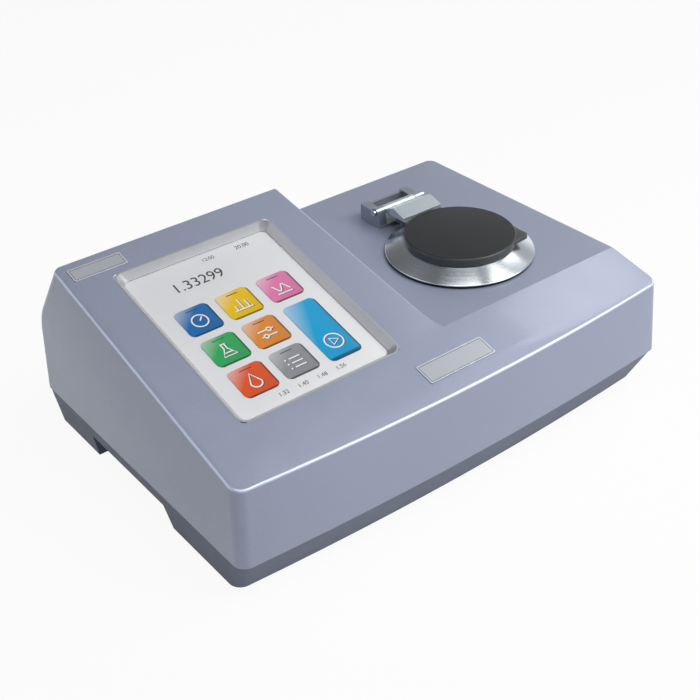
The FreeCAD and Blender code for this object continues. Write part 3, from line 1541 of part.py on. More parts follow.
def flanged(name, x, width, height, deep):
    """Body through the panel with a flange on its outer face."""
    lip = inlet_lip
    body = box(name + "_body", x - width / 2, rear_wall - deep, fixture_level - height / 2, width, deep, height)
    flange = box(
        name + "_flange", x - width / 2 - lip, rear_wall, fixture_level - height / 2 - lip,
        width + 2 * lip, inlet_flange, height + 2 * lip,
    )
    return fuse(name + "_outside", body, flange)


def mains_inlet():
    shell = flanged("inlet", inlet_side, inlet_width, inlet_high, inlet_deep)
    inner_width = inlet_width - 2 * socket_wall
    inner_high = inlet_high - 2 * socket_wall
    floor = rear_wall - inlet_deep + 3
    cavity = new_body("inlet_cavity")
    chamfer = inner_high / 3
    profile = [
        (-inner_width / 2, -inner_high / 2),
        (inner_width / 2, -inner_high / 2),
        (inner_width / 2, inner_high / 2 - chamfer),
        (inner_width / 2 - chamfer, inner_high / 2),
        (chamfer - inner_width / 2, inner_high / 2),
        (-inner_width / 2, inner_high / 2 - chamfer),
    ]
    pad(cavity, outline(sketch_on(cavity, "XZ_Plane"), profile), inlet_deep + 5, reverse=True)
    place(cavity, inlet_side, floor, fixture_level)
    piece("mains_inlet", cut("inlet_cut", shell, cavity))
    pins = []
    for number, (side, up) in enumerate(((-7, -2), (7, -2), (0, 2.6))):
        pins.append(centred_pin(f"inlet_pin{number}", inlet_side + side, fixture_level + up, floor))
    piece("inlet_pins", group("inlet_pin_set", *pins))


def centred_pin(name, x, z, floor):
    return box(name, x - 1, floor, z - 2, 2, inlet_deep - 5, 4)


def power_switch():
    shell = flanged("switch", switch_side, switch_width, switch_high, switch_deep)
    side_wall = as_size(1.3)
    inner_width = switch_width - 2 * side_wall
    inner_high = switch_high - 2 * side_wall
    floor = rear_wall - 8
    cavity = box(
        "switch_cavity", switch_side - inner_width / 2, floor, fixture_level - inner_high / 2,
        inner_width, 20, inner_high,
    )
    pivot_y = rear_wall - 3
    pivot_length = inner_high + 1.4
    pivot_low = fixture_level - pivot_length / 2
    hole = rod("switch_hole", switch_side, pivot_y, pivot_low - 0.2, 1.2 + pin_fit, pivot_length + 0.4)
    piece("switch_frame", cut("switch_cut", shell, cavity, hole))
    rocker = new_body("rocker_body")
    half = inner_width / 2 - 2 * rocker_gap
    crest = as_size(4.4)
    profile = [
        (-2.2, -2.5),
        (2.2, -2.5),
        (half, 1),
        (half, crest),
        (0, crest - rocker_rise),
        (-half, crest),
        (-half, 1),
    ]
    rocker_high = inner_high - 2 * rocker_gap
    pad(rocker, outline(sketch_on(rocker, "XY_Plane"), profile), rocker_high)
    place(rocker, switch_side, pivot_y, fixture_level - rocker_high / 2)
    pivot = rod("rocker_pivot", switch_side, pivot_y, pivot_low, 1.2, pivot_length)
    piece("switch_rocker", fuse("rocker_joined", rocker, pivot))


def sockets():
    shell = new_body("serial_shell")
    profile = [(-8.4, 4.2), (8.4, 4.2), (7, -4.2), (-7, -4.2)]
    pad(shell, outline(sketch_on(shell, "XZ_Plane"), profile), as_size(6), reverse=True)
    place(shell, serial_side, rear_wall - 4, fixture_level)
    back = box("serial_back", serial_side - 8.4, rear_wall - 14, fixture_level - 4.4, 16.8, 11, 8.8)
    flange = box("serial_flange", serial_side - 15.4, rear_wall, fixture_level - 6.2, 30.8, 0.8, 12.4)
    nuts = [
        rod(f"serial_nut{number}", serial_side + side * 12.5, rear_wall, fixture_level, 2.3, 2.6, "Y")
        for number, side in enumerate((-1, 1))
    ]
    piece("serial_socket", fuse("serial_joined", shell, back, flange, *nuts))
    units = []
    for number in range(2):
        x = usb_side + usb_pitch * number
        can = box(f"usb_can{number}", x - 7, rear_wall - 14, fixture_level - 3.3, 14, 15, 6.6)
        hollow = box(f"usb_hollow{number}", x - 6.3, rear_wall - 10, fixture_level - 2.6, 12.6, 12, 5.2)
        tongue = box(f"usb_tongue{number}", x - 5.4, rear_wall - 11, fixture_level + 0.2, 10.8, 10, 1.8)
        units.append(fuse(f"usb_unit{number}", cut(f"usb_open{number}", can, hollow), tongue))
    piece("usb_sockets", group("usb_set", *units))


# Boards

def boards():
    width = board_right - board_left
    depth = board_rear - board_front
    sheet = box("main_sheet", board_left, board_front, board_level, width, depth, board_thick)
    margin = as_size(6)
    spots = [
        (x, y)
        for x in (board_left + margin, board_right - margin)
        for y in (board_front + margin, (board_front + board_rear) / 2, board_rear - margin)
    ]
    supply_spots = [
        (x, y)
        for x in (supply_left + margin, supply_right - margin)
        for y in (supply_front + margin, supply_rear - margin)
    ]
    ways = []
    screws = []
    standoffs = []
    for number, (x, y) in enumerate(spots):
        ways.append(rod(f"main_drill{number}", x, y, board_level - 1, small_screw + fit, board_thick + 2))
        screws.append(screw_down(
            f"main_screw{number}", x, y, board_level + board_thick,
            small_screw, small_head, small_head_high, board_thick + 4,
        ))
    for number, (x, y) in enumerate(spots + supply_spots):
        column = rod(f"standoff{number}", x, y, floor_level, standoff_radius, board_level - floor_level)
        tap = rod(f"standoff_tap{number}", x, y, board_level - 5, small_screw + fit, 6)
        standoffs.append(cut(f"standoff_cut{number}", column, tap))
    piece("main_board", cut("main_cut", sheet, *ways))
    piece("board_screws", group("board_screw_set", *screws))
    piece("standoffs", group("standoff_set", *standoffs))
    top = board_level + board_thick
    parts = [
        centred_box("processor", board_left + 60, board_front + 60, top, 28, 28, 3),
        centred_box("memory", board_left + 60, board_front + 95, top, 24, 12, 2),
        centred_box("sensor_plug", board_right - 9, board_front + 50, top, 8, 22, 7),
        centred_box("rear_plug", board_left + 70, board_rear - 10, top, 40, 8, 9),
        centred_box("ribbon_plug", ribbon_x, ribbon_y, top, ribbon_width + 6, 6, 7),
        rod("capacitor0", board_left + 22, board_front + 24, top, 6, 14),
        rod("capacitor1", board_left + 38, board_front + 24, top, 6, 14),
    ]
    piece("board_parts", group("board_part_set", *parts))

    supply_width = supply_right - supply_left
    supply_depth = supply_rear - supply_front
    case = box("supply_case", supply_left, supply_front, board_level, supply_width, supply_depth, supply_high)
    slots = []
    for number in range(6):
        y = supply_front + 14 + number * 14
        slots.append(box(
            f"supply_slot{number}", supply_left + 7, y, board_level + supply_high - 2,
            supply_width - 14, 4, 3,
        ))
    piece("power_supply", cut("supply_cut", case, *slots))


def ribbon():
    """Flat cable from the main board up to the board behind the display."""
    low = board_level + board_thick + 7
    half = ribbon_thick / 2
    under_plug = lcd_plug_low * slope_length - 0.05
    profile = [
        (ribbon_y - half, low),
        (ribbon_y + half, low),
        (ribbon_y + half, slope_level(ribbon_y + half) + under_plug),
        (ribbon_y - half, slope_level(ribbon_y - half) + under_plug),
    ]
    body = new_body("ribbon_body")
    pad(body, outline(sketch_on(body, "YZ_Plane"), profile), ribbon_width, middle=True)
    piece("display_ribbon", place(body, ribbon_x))


def check_and_write():
    DOC.recompute()
    broken = [thing.Name for thing in DOC.Objects if "Invalid" in thing.State or "Error" in thing.State]
    if broken:
        raise RuntimeError("objects that failed: " + ", ".join(broken))
    os.makedirs("parts", exist_ok=True)
    for solid in PIECES:
        if solid.Shape.isNull() or not solid.Shape.isValid():
            raise RuntimeError("bad shape: " + solid.Label)
    for solid in PIECES:
        solid.Shape.exportStep(os.path.join("parts", solid.Label + ".step"))


upper_housing()
lower_case()
case_fasteners()
badges()
display()
sample_stage()
hinge(sample_cover())
prism_unit()
optics()
optical_bench()
cooling()
fan()
rear_panel()
mains_inlet()
power_switch()
sockets()
boards()
ribbon()
check_and_write()
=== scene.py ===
import json
import math

import bmesh
import bpy
import numpy as np
from bpy.props import FloatProperty, FloatVectorProperty, IntProperty, PointerProperty
from bpy.types import Operator, Panel, PropertyGroup
from mathutils import Matrix, Vector


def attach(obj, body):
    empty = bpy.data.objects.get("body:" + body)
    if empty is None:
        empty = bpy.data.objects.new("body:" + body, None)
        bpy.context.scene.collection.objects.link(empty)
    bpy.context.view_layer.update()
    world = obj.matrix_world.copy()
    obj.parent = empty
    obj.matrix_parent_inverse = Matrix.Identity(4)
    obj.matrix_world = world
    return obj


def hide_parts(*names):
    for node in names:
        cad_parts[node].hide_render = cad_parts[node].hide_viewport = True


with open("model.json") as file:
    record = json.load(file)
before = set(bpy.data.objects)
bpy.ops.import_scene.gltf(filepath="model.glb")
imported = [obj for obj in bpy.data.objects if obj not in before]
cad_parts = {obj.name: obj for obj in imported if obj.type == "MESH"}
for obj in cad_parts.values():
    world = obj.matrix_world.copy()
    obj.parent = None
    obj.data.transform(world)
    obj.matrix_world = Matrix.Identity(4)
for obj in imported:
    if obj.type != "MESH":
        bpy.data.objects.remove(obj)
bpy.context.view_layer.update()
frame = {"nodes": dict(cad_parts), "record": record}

bl_info = {
    "name": "Bench Refractometer",
    "version": (1, 0, 0),
    "blender": (4, 5, 0),
    "location": "View3D > Sidebar > Refractometer",
    "description": "Finishes, screen, sample stage, cover and studio of a bench refractometer",
    "category": "Object",
}

# Places on the casing, in metres, the same as in the solids
CASE_FRONT = -0.130
CASE_FRONT_LEVEL = 0.0852
CREST = 0.0965
CREST_LEVEL = 0.140
SLOPE_ANGLE = math.atan((CREST_LEVEL - CASE_FRONT_LEVEL) / (CREST - CASE_FRONT))
DECK = 0.098
STAGE = (0.092, -0.008)
SCREEN_ACROSS = -0.0858
SCREEN_ALONG = 0.1297
SCREEN_DEPTH = -0.0059


# Shapes

def on_slope(points):
    """Points given across, up along and out of the slope, turned about the front edge by its angle."""
    across, along, out = np.moveaxis(np.asarray(points, float), -1, 0)
    cosine, sine = math.cos(SLOPE_ANGLE), math.sin(SLOPE_ANGLE)
    return np.stack([
        across,
        CASE_FRONT + along * cosine - out * sine,
        CASE_FRONT_LEVEL + along * sine + out * cosine,
    ], -1)


def laid_on_slope(points, out, across=0.0, along=0.0):
    """Flat points, moved across and along, at one height over the slope."""
    flat = np.asarray(points, float)
    return on_slope(np.column_stack([flat[:, 0] + across, flat[:, 1] + along, np.full(len(flat), out)]))


def grid_faces(rows, columns, around=False, over=False):
    """Quads between neighbours of a grid that is numbered row by row.
    around joins the last column to the first, and over the last row to the first."""
    row = np.arange(rows if over else rows - 1)[:, None]
    column = np.arange(columns if around else columns - 1)[None, :]
    next_row = (row + 1) % rows
    next_column = (column + 1) % columns
    corners = (
        row * columns + column,
        row * columns + next_column,
        next_row * columns + next_column,
        next_row * columns + column,
    )
    return np.stack(np.broadcast_arrays(*corners), -1).reshape(-1, 4).tolist()


def closed_rings(rings):
    """Solid through a stack of closed rings, with a flat face on the first and the last."""
    rows, columns = rings.shape[:2]
    faces = grid_faces(rows, columns, around=True)
    faces.append(list(range(columns)))
    faces.append(list(range((rows - 1) * columns, rows * columns)))
    return rings.reshape(-1, 3), faces


def rounded(corners, radius, closed=True, steps=5):
    """Each corner of a line gives way to a parabola between the points one radius before and after it,
    or half a side where that is shorter."""
    line = np.asarray(corners, float)
    before = np.roll(line, 1, 0) - line
    after = np.roll(line, -1, 0) - line
    before_length = np.linalg.norm(before, axis=1, keepdims=True)
    after_length = np.linalg.norm(after, axis=1, keepdims=True)
    reach = np.minimum(radius, 0.49 * np.minimum(before_length, after_length))
    start = line + before / before_length * reach
    end = line + after / after_length * reach
    share = np.linspace(0, 1, steps)[None, :, None]
    curve = (
        (1 - share) ** 2 * start[:, None]
        + 2 * share * (1 - share) * line[:, None]
        + share ** 2 * end[:, None]
    )
    if not closed:
        curve[0] = line[0]
        curve[-1] = line[-1]
    return curve.reshape(-1, 2)


def round_box(half_x, half_y, radius, steps=10):
    """Outline of a rectangle with circular corners: each corner's centre plus radius times (cos, sin)."""
    angle = np.linspace(0, math.pi / 2, steps)[None, :] + np.arange(4)[:, None] * math.pi / 2
    sign_x = np.array([1, -1, -1, 1])[:, None]
    sign_y = np.array([1, 1, -1, -1])[:, None]
    x = sign_x * (half_x - radius) + radius * np.cos(angle)
    y = sign_y * (half_y - radius) + radius * np.sin(angle)
    return np.stack([x, y], -1).reshape(-1, 2)


def inward(outline, distance):
    """Outline moved in along the mean normal of its two sides at each point."""
    before = outline - np.roll(outline, 1, 0)
    after = np.roll(outline, -1, 0) - outline
    before /= np.linalg.norm(before, axis=1, keepdims=True) + 1e-12
    after /= np.linalg.norm(after, axis=1, keepdims=True) + 1e-12
    run = before + after
    normal = np.stack([-run[:, 1], run[:, 0]], -1)
    normal /= np.linalg.norm(normal, axis=1, keepdims=True) + 1e-12
    lean = np.clip((normal * np.stack([-after[:, 1], after[:, 0]], -1)).sum(1, keepdims=True), 0.5, 1)
    return outline + normal * distance / lean


def plate_rings(outline, low, high, edge, steps=4):
    """Rings of a flat plate whose upper and lower edges are quarter circles of the given radius."""
    angle = np.linspace(0, math.pi / 2, steps)
    rings = []
    for turn in angle[::-1]:
        ring = inward(outline, edge * (1 - math.cos(turn)))
        rings.append(np.column_stack([ring, np.full(len(ring), low + edge * (1 - math.sin(turn)))]))
    for turn in angle:
        ring = inward(outline, edge * (1 - math.cos(turn)))
        rings.append(np.column_stack([ring, np.full(len(ring), high - edge * (1 - math.sin(turn)))]))
    return np.array(rings)


def turned(profile, centre, count=192, over=True):
    """Surface of revolution: each profile point (radius, height) goes round the upright axis."""
    angle = np.arange(count) * 2 * math.pi / count
    profile = np.asarray(profile, float)
    x = centre[0] + profile[:, :1] * np.cos(angle)
    y = centre[1] + profile[:, :1] * np.sin(angle)
    z = np.broadcast_to(profile[:, 1:], x.shape)
    points = np.stack([x, y, z], -1)
    return points.reshape(-1, 3), grid_faces(len(profile), count, around=True, over=over)


def stroke(path, width, closed=False):
    """Flat band of even width whose middle follows the path: path plus and minus half the width
    along its normal."""
    path = np.asarray(path, float)
    if closed:
        run = np.roll(path, -1, 0) - np.roll(path, 1, 0)
    else:
        run = np.gradient(path, axis=0)
    run /= np.linalg.norm(run, axis=1, keepdims=True)
    side = np.stack([-run[:, 1], run[:, 0]], -1) * width / 2
    band = np.stack([path + side, path - side], 1)
    return band.reshape(-1, 2), grid_faces(len(path), 2, over=closed)


def arc(x, y, radius, start=0.0, end=360.0, steps=25):
    """Points of a circle between two angles in degrees."""
    angle = np.radians(np.linspace(start, end, steps))
    return np.stack([x + radius * np.cos(angle), y + radius * np.sin(angle)], -1)


def joined(parts):
    """One list of points and faces from several."""
    points, faces, first = [], [], 0
    for part_points, part_faces in parts:
        points.append(part_points)
        faces += [[corner + first for corner in face] for face in part_faces]
        first += len(part_points)
    return np.concatenate(points), faces


def add_piece(name, parts, finish, body="base", sharp=35, outward=True):
    """Mesh object of the given parts, with closed seams, that rides on a body of the frame."""
    points, faces = joined(parts)
    mesh = bpy.data.meshes.new(name)
    mesh.from_pydata(points.tolist(), [], faces)
    work = bmesh.new()
    work.from_mesh(mesh)
    bmesh.ops.remove_doubles(work, verts=work.verts, dist=1e-6)
    if outward:
        bmesh.ops.recalc_face_normals(work, faces=work.faces)
    work.to_mesh(mesh)
    work.free()
    mesh.shade_smooth()
    mesh.set_sharp_from_angle(angle=math.radians(sharp))
    mesh.materials.append(finish)
    piece = bpy.data.objects.new(name, mesh)
    bpy.context.scene.collection.objects.link(piece)
    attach(piece, body)
    return piece


def fine_copy(node, name, finish, body, bevel, sharp=30):
    """Merged copy of a solid with smooth curved faces and rounded edges, shown in its place."""
    source = frame["nodes"][node]
    mesh = source.data.copy()
    mesh.name = name
    work = bmesh.new()
    work.from_mesh(mesh)
    bmesh.ops.remove_doubles(work, verts=work.verts, dist=2e-6)
    bmesh.ops.dissolve_limit(
        work, angle_limit=math.radians(0.4), verts=work.verts, edges=work.edges,
        use_dissolve_boundaries=False,
    )
    work.to_mesh(mesh)
    work.free()
    for attribute in [a.name for a in mesh.attributes if a.name == "custom_normal"]:
        mesh.attributes.remove(mesh.attributes[attribute])
    mesh.materials.clear()
    mesh.materials.append(finish)
    mesh.shade_smooth()
    mesh.set_sharp_from_angle(angle=math.radians(sharp))
    piece = bpy.data.objects.new(name, mesh)
    bpy.context.scene.collection.objects.link(piece)
    if bevel:
        edge = piece.modifiers.new("edge", "BEVEL")
        edge.width = bevel
        edge.segments = 3
        edge.limit_method = "ANGLE"
        edge.angle_limit = math.radians(sharp)
        edge.harden_normals = True
        edge.use_clamp_overlap = True
    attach(piece, body)
    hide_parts(node)


# Finishes

class Finish:
    """Builder of one procedural finish on object coordinates, in metres."""

    def __init__(self, name, **sockets):
        self.material = bpy.data.materials.new(name)
        self.material.use_nodes = True
        self.tree = self.material.node_tree
        self.shader = self.tree.nodes["Principled BSDF"]
        self.coordinates = self.node("ShaderNodeTexCoord")
        self.place = self.coordinates.outputs["Object"]
        for socket, value in sockets.items():
            self.put(socket.replace("_", " "), value)

    def node(self, kind, **settings):
        made = self.tree.nodes.new(kind)
        for setting, value in settings.items():
            setattr(made, setting, value)
        return made

    def put(self, socket, value, shader=None):
        target = (shader or self.shader).inputs[socket]
        if isinstance(value, bpy.types.NodeSocket):
            self.tree.links.new(value, target)
        elif target.type == "RGBA" and len(value) == 3:
            target.default_value = (*value, 1.0)
        else:
            target.default_value = value

    def spread(self, scale=(1, 1, 1), shift=(0, 0, 0)):
        mapping = self.node("ShaderNodeMapping")
        self.put("Vector", self.place, mapping)
        mapping.inputs["Scale"].default_value = scale
        mapping.inputs["Location"].default_value = shift
        return mapping.outputs["Vector"]

    def noise(self, scale, detail=2.0, rough=0.5, place=None):
        made = self.node("ShaderNodeTexNoise")
        self.put("Vector", place or self.place, made)
        made.inputs["Scale"].default_value = scale
        made.inputs["Detail"].default_value = detail
        made.inputs["Roughness"].default_value = rough
        return made.outputs["Fac"]

    def between(self, value, low, high, start=0.3, end=0.7):
        """Value from start to end, spread from low to high."""
        made = self.node("ShaderNodeMapRange")
        self.put("Value", value, made)
        for socket, number in (("From Min", start), ("From Max", end), ("To Min", low), ("To Max", high)):
            made.inputs[socket].default_value = number
        return made.outputs["Result"]

    def sum(self, *values, operation="ADD"):
        total = values[0]
        for value in values[1:]:
            made = self.node("ShaderNodeMath", operation=operation)
            for index, part in enumerate((total, value)):
                if isinstance(part, bpy.types.NodeSocket):
                    self.tree.links.new(part, made.inputs[index])
                else:
                    made.inputs[index].default_value = part
            total = made.outputs[0]
        return total

    def mix(self, share, first, second):
        made = self.node("ShaderNodeMix", data_type="RGBA")
        for index, value in ((0, share), (6, first), (7, second)):
            if isinstance(value, bpy.types.NodeSocket):
                self.tree.links.new(value, made.inputs[index])
            elif index == 0:
                made.inputs[index].default_value = value
            else:
                made.inputs[index].default_value = (*value[:3], 1.0)
        return made.outputs[2]

    def bump(self, height, distance, strength=1.0, under=None):
        made = self.node("ShaderNodeBump")
        self.put("Height", height, made)
        made.inputs["Distance"].default_value = distance
        made.inputs["Strength"].default_value = strength
        if under is not None:
            self.put("Normal", under, made)
        return made.outputs["Normal"]


def tinted(colour, factor):
    return tuple(min(1.0, channel * factor) for channel in colour[:3])


def paint_finish(name, colour, metal=0.3, rough=0.4, coat=0.35, gloss=0.3, flake=1.0, edge_highlight=0.0):
    """Satin metallic paint: cloudy tone, fine flakes, a faint orange-peel surface, and, by the share given in
    the
    last argument, a painted highlight: a paler tone on rounded upper edges, which face neither up nor
    sideways."""
    made = Finish(name, Metallic=metal, Coat_Weight=coat, Coat_Roughness=0.1, Specular_IOR_Level=gloss)
    cloud = made.between(made.noise(7, 3), 0, 1, 0.35, 0.65)
    tone = made.mix(cloud, tinted(colour, 0.965), tinted(colour, 1.03))
    flakes = made.between(made.noise(2600, 1), 0, 1, 0.35, 0.7)
    tone = made.mix(flakes, tone, tinted(colour, 1 + 0.14 * flake))
    # Painted highlight: where the normal leans between up and sideways, on rounded upper edges, the tone
    # turns far paler
    facing = made.node("ShaderNodeSeparateXYZ")
    made.put("Vector", made.coordinates.outputs["Normal"], facing)
    level = facing.outputs["Z"]
    rising, falling = made.between(level, 0, 1, 0.3, 0.6), made.between(level, 1, 0, 0.82, 0.94)
    edge_highlight_mask = made.sum(rising, falling, edge_highlight, operation="MULTIPLY")
    made.put("Base Color", made.mix(edge_highlight_mask, tone, tinted(colour, 2.1)))
    scuffs = made.noise(55, 4, 0.65)
    made.put("Roughness", made.between(scuffs, rough - 0.03, rough + 0.05))
    peel = made.bump(made.noise(420, 2), 0.00004, 0.35)
    made.put("Normal", made.bump(made.noise(2600, 1), 0.00001, 0.3, peel))
    return made.material


def plastic_finish(name, colour, rough=0.5, grain=1500, depth=0.00002, gloss=0.5):
    """Moulded plastic with a fine spark-eroded grain and slight wear in its gloss."""
    made = Finish(name, Specular_IOR_Level=gloss)
    cloud = made.between(made.noise(18, 3), 0, 1)
    made.put("Base Color", made.mix(cloud, tinted(colour, 0.9), tinted(colour, 1.12)))
    made.put("Roughness", made.between(made.noise(90, 4, 0.6), rough - 0.06, rough + 0.08))
    made.put("Normal", made.bump(made.noise(grain, 2), depth, 0.5))
    return made.material


def metal_finish(name, colour, rough=0.28, grain=(1, 1, 1), depth=0.0000008, metal=1.0):
    """Bare metal with a drawn grain: noise stretched along the direction of least scale."""
    made = Finish(name, Metallic=metal)
    lines = made.noise(900, 3, 0.6, made.spread(grain))
    cloud = made.between(made.noise(30, 3), 0, 1)
    tone = made.mix(cloud, tinted(colour, 0.93), tinted(colour, 1.05))
    made.put("Base Color", made.mix(made.between(lines, 0, 1), tone, tinted(colour, 0.9)))
    made.put("Roughness", made.between(lines, rough - 0.05, rough + 0.09))
    made.put("Normal", made.bump(lines, depth, 0.5))
    return made.material


def turned_steel_finish(name, colour, rough=0.2, foot=None):
    """Steel turned on a lathe: fine grooves round the stage's axis, and gloss drawn out across them.
    Below the foot's level, where one is given, the steel is darkened as painted shade where it meets the
    deck."""
    made = Finish(name, Metallic=1.0, Anisotropic=0.7)
    offset = made.spread(shift=(-STAGE[0], -STAGE[1], 0))
    parts = made.node("ShaderNodeSeparateXYZ")
    made.put("Vector", offset, parts)
    flat = made.node("ShaderNodeCombineXYZ")
    made.put("X", parts.outputs["X"], flat)
    made.put("Y", parts.outputs["Y"], flat)
    length = made.node("ShaderNodeVectorMath", operation="LENGTH")
    made.tree.links.new(flat.outputs[0], length.inputs[0])
    distance = made.node("ShaderNodeCombineXYZ")
    made.put("X", length.outputs["Value"], distance)
    made.put("Y", parts.outputs["Z"], distance)
    grooves = made.noise(3800, 2, 0.6, distance.outputs[0])
    unit = made.node("ShaderNodeVectorMath", operation="NORMALIZE")
    made.tree.links.new(flat.outputs[0], unit.inputs[0])
    made.put("Tangent", unit.outputs["Vector"])
    tone = made.mix(made.between(grooves, 0, 1), tinted(colour, 0.94), tinted(colour, 1.04))
    # Painted shade: below the foot's level the steel is given a near-black tone where it meets the deck
    if foot is not None:
        painted_foot_shade = made.between(parts.outputs["Z"], 1, 0, foot - 0.0003, foot)
        tone = made.mix(painted_foot_shade, tone, (0.03, 0.035, 0.045))
    made.put("Base Color", tone)
    made.put("Roughness", made.between(grooves, rough - 0.03, rough + 0.05))
    made.put("Normal", made.bump(grooves, 0.0000006, 0.4))
    return made.material


def rubber_finish(name, colour):
    made = Finish(name, Specular_IOR_Level=0.3)
    made.put("Base Color", made.mix(made.noise(120, 3), tinted(colour, 0.8), tinted(colour, 1.3)))
    made.put("Roughness", made.between(made.noise(200, 3), 0.68, 0.88))
    made.put("Normal", made.bump(made.noise(1800, 2), 0.00003, 0.6))
    return made.material


def board_finish(name, colour):
    """Circuit board: green lacquer over tracks, drawn as a fine pattern of bricks."""
    made = Finish(name, Specular_IOR_Level=0.5, Roughness=0.35)
    tracks = made.node("ShaderNodeTexBrick", offset=0.5)
    made.put("Vector", made.place, tracks)
    sizes = {"Scale": 160.0, "Mortar Size": 0.035, "Brick Width": 0.6, "Row Height": 0.3}
    for socket, value in sizes.items():
        tracks.inputs[socket].default_value = value
    tracks.inputs["Color1"].default_value = (*tinted(colour, 1.0), 1)
    tracks.inputs["Color2"].default_value = (*tinted(colour, 1.2), 1)
    tracks.inputs["Mortar"].default_value = (*tinted(colour, 2.2), 1)
    made.put("Base Color", tracks.outputs["Color"])
    made.put("Normal", made.bump(tracks.outputs["Fac"], 0.00003, 0.5))
    return made.material


def glass_finish(name, colour, rough=0.03, clear=0.8):
    made = Finish(name, Transmission_Weight=clear, IOR=1.5)
    made.put("Base Color", made.mix(made.noise(40, 2), tinted(colour, 0.96), tinted(colour, 1.02)))
    made.put("Roughness", made.between(made.noise(70, 3), rough, rough + 0.04))
    return made.material


# What a user would change

class CasingLook(PropertyGroup):
    paint: FloatVectorProperty(
        name="Upper paint", description="Paint of the upper housing",
        default=(0.335, 0.37, 0.485), size=3, min=0, max=1, subtype="COLOR",
    )
    # The upper paint darkened: painted shade on the lower case, which curves down under the upper housing
    lower_shade_paint: FloatVectorProperty(
        name="Lower paint", description="Paint of the lower case",
        default=(0.15, 0.175, 0.245), size=3, min=0, max=1, subtype="COLOR",
    )
    bezel: FloatVectorProperty(
        name="Bezel", description="Silver of the bevel round the panel",
        default=(0.47, 0.48, 0.51), size=3, min=0, max=1, subtype="COLOR",
    )
    badge: FloatVectorProperty(
        name="Badges", description="Colour of the two bare badge plates",
        default=(0.52, 0.545, 0.60), size=3, min=0, max=1, subtype="COLOR",
    )
    gloss: FloatProperty(
        name="Roughness", description="Roughness of the paint",
        default=0.4, min=0.1, max=0.9, subtype="FACTOR",
    )


class ScreenLook(PropertyGroup):
    ground: FloatVectorProperty(
        name="Ground", description="Ground colour of the display",
        default=(0.82, 0.83, 0.85), size=3, min=0, max=1, subtype="COLOR",
    )
    key_size: FloatProperty(
        name="Key", description="Width of a key on the display", default=0.0258, min=0.01, max=0.03,
        unit="LENGTH",
    )
    key_corner: FloatProperty(
        name="Key corner", description="Corner radius of a key", default=0.0042, min=0.0005, max=0.01,
        unit="LENGTH",
    )
    mark_width: FloatProperty(
        name="Mark", description="Width of the lines of the marks", default=0.0011, min=0.0002, max=0.003,
        unit="LENGTH",
    )


class StageLook(PropertyGroup):
    steel: FloatVectorProperty(
        name="Steel", description="Colour of the turned steel",
        default=(0.66, 0.70, 0.74), size=3, min=0, max=1, subtype="COLOR",
    )
    cover: FloatVectorProperty(
        name="Cover", description="Colour of the sample cover",
        default=(0.0115, 0.0128, 0.0134), size=3, min=0, max=1, subtype="COLOR",
    )
    ring_segments: IntProperty(
        name="Segments", description="Segments round the stage", default=256, min=48, max=512,
    )


class StudioLook(PropertyGroup):
    key_power: FloatProperty(
        name="Key lamp", description="Power of the small lamp at the right", default=1.2, min=0, unit="POWER",
    )
    front_power: FloatProperty(
        name="Front lamp", description="Power of the large lamp in front at the right", default=13.0, min=0,
        unit="POWER",
    )
    top_power: FloatProperty(
        name="Top lamp", description="Power of the large lamp overhead", default=7.2, min=0, unit="POWER",
    )
    rim_power: FloatProperty(
        name="Rim lamp", description="Power of the lamp behind at the left", default=0.3, min=0, unit="POWER",
    )
    room: FloatProperty(
        name="Room", description="Strength of the even light of the room", default=0.02, min=0, max=2,
    )
    shine: FloatProperty(
        name="Shine", description="Strength of the studio that shiny pieces see", default=0.8, min=0, max=2,
    )


# Casing

BADGE_TOP = 0.0005
# Solid, name, middle on the slope, half width and half height of each plate
BADGES = (
    ("front_badge", "front_plate", (0.0011, 0.0261), 0.0280, 0.00835),
    ("corner_badge", "corner_plate", (-0.1520, 0.2196), 0.0200, 0.00625),
)

# Half width, half length, corner radius and height over the slope of each ring of the silver frame
BEZEL_RINGS = (
    (0.0634, 0.0781, 0.0080, 0.00012),
    (0.0623, 0.0770, 0.0072, 0.00016),
    (0.0620, 0.0767, 0.0070, -0.0003),
    (0.0577, 0.0724, 0.0050, -0.0052),
    (0.0588, 0.0735, 0.0050, -0.0052),
    (0.0634, 0.0781, 0.0080, -0.0003),
)


def bezel_frame():
    """Silver frame that lines the sunk bevel: rounded rectangles in rings, from a narrow flange on the slope
    down to the panel's edge, and back up inside the wall."""
    rings = np.array([
        laid_on_slope(round_box(half_x, half_y, corner), out, SCREEN_ACROSS, SCREEN_ALONG)
        for half_x, half_y, corner, out in BEZEL_RINGS
    ])
    return rings.reshape(-1, 3), grid_faces(*rings.shape[:2], around=True, over=True)


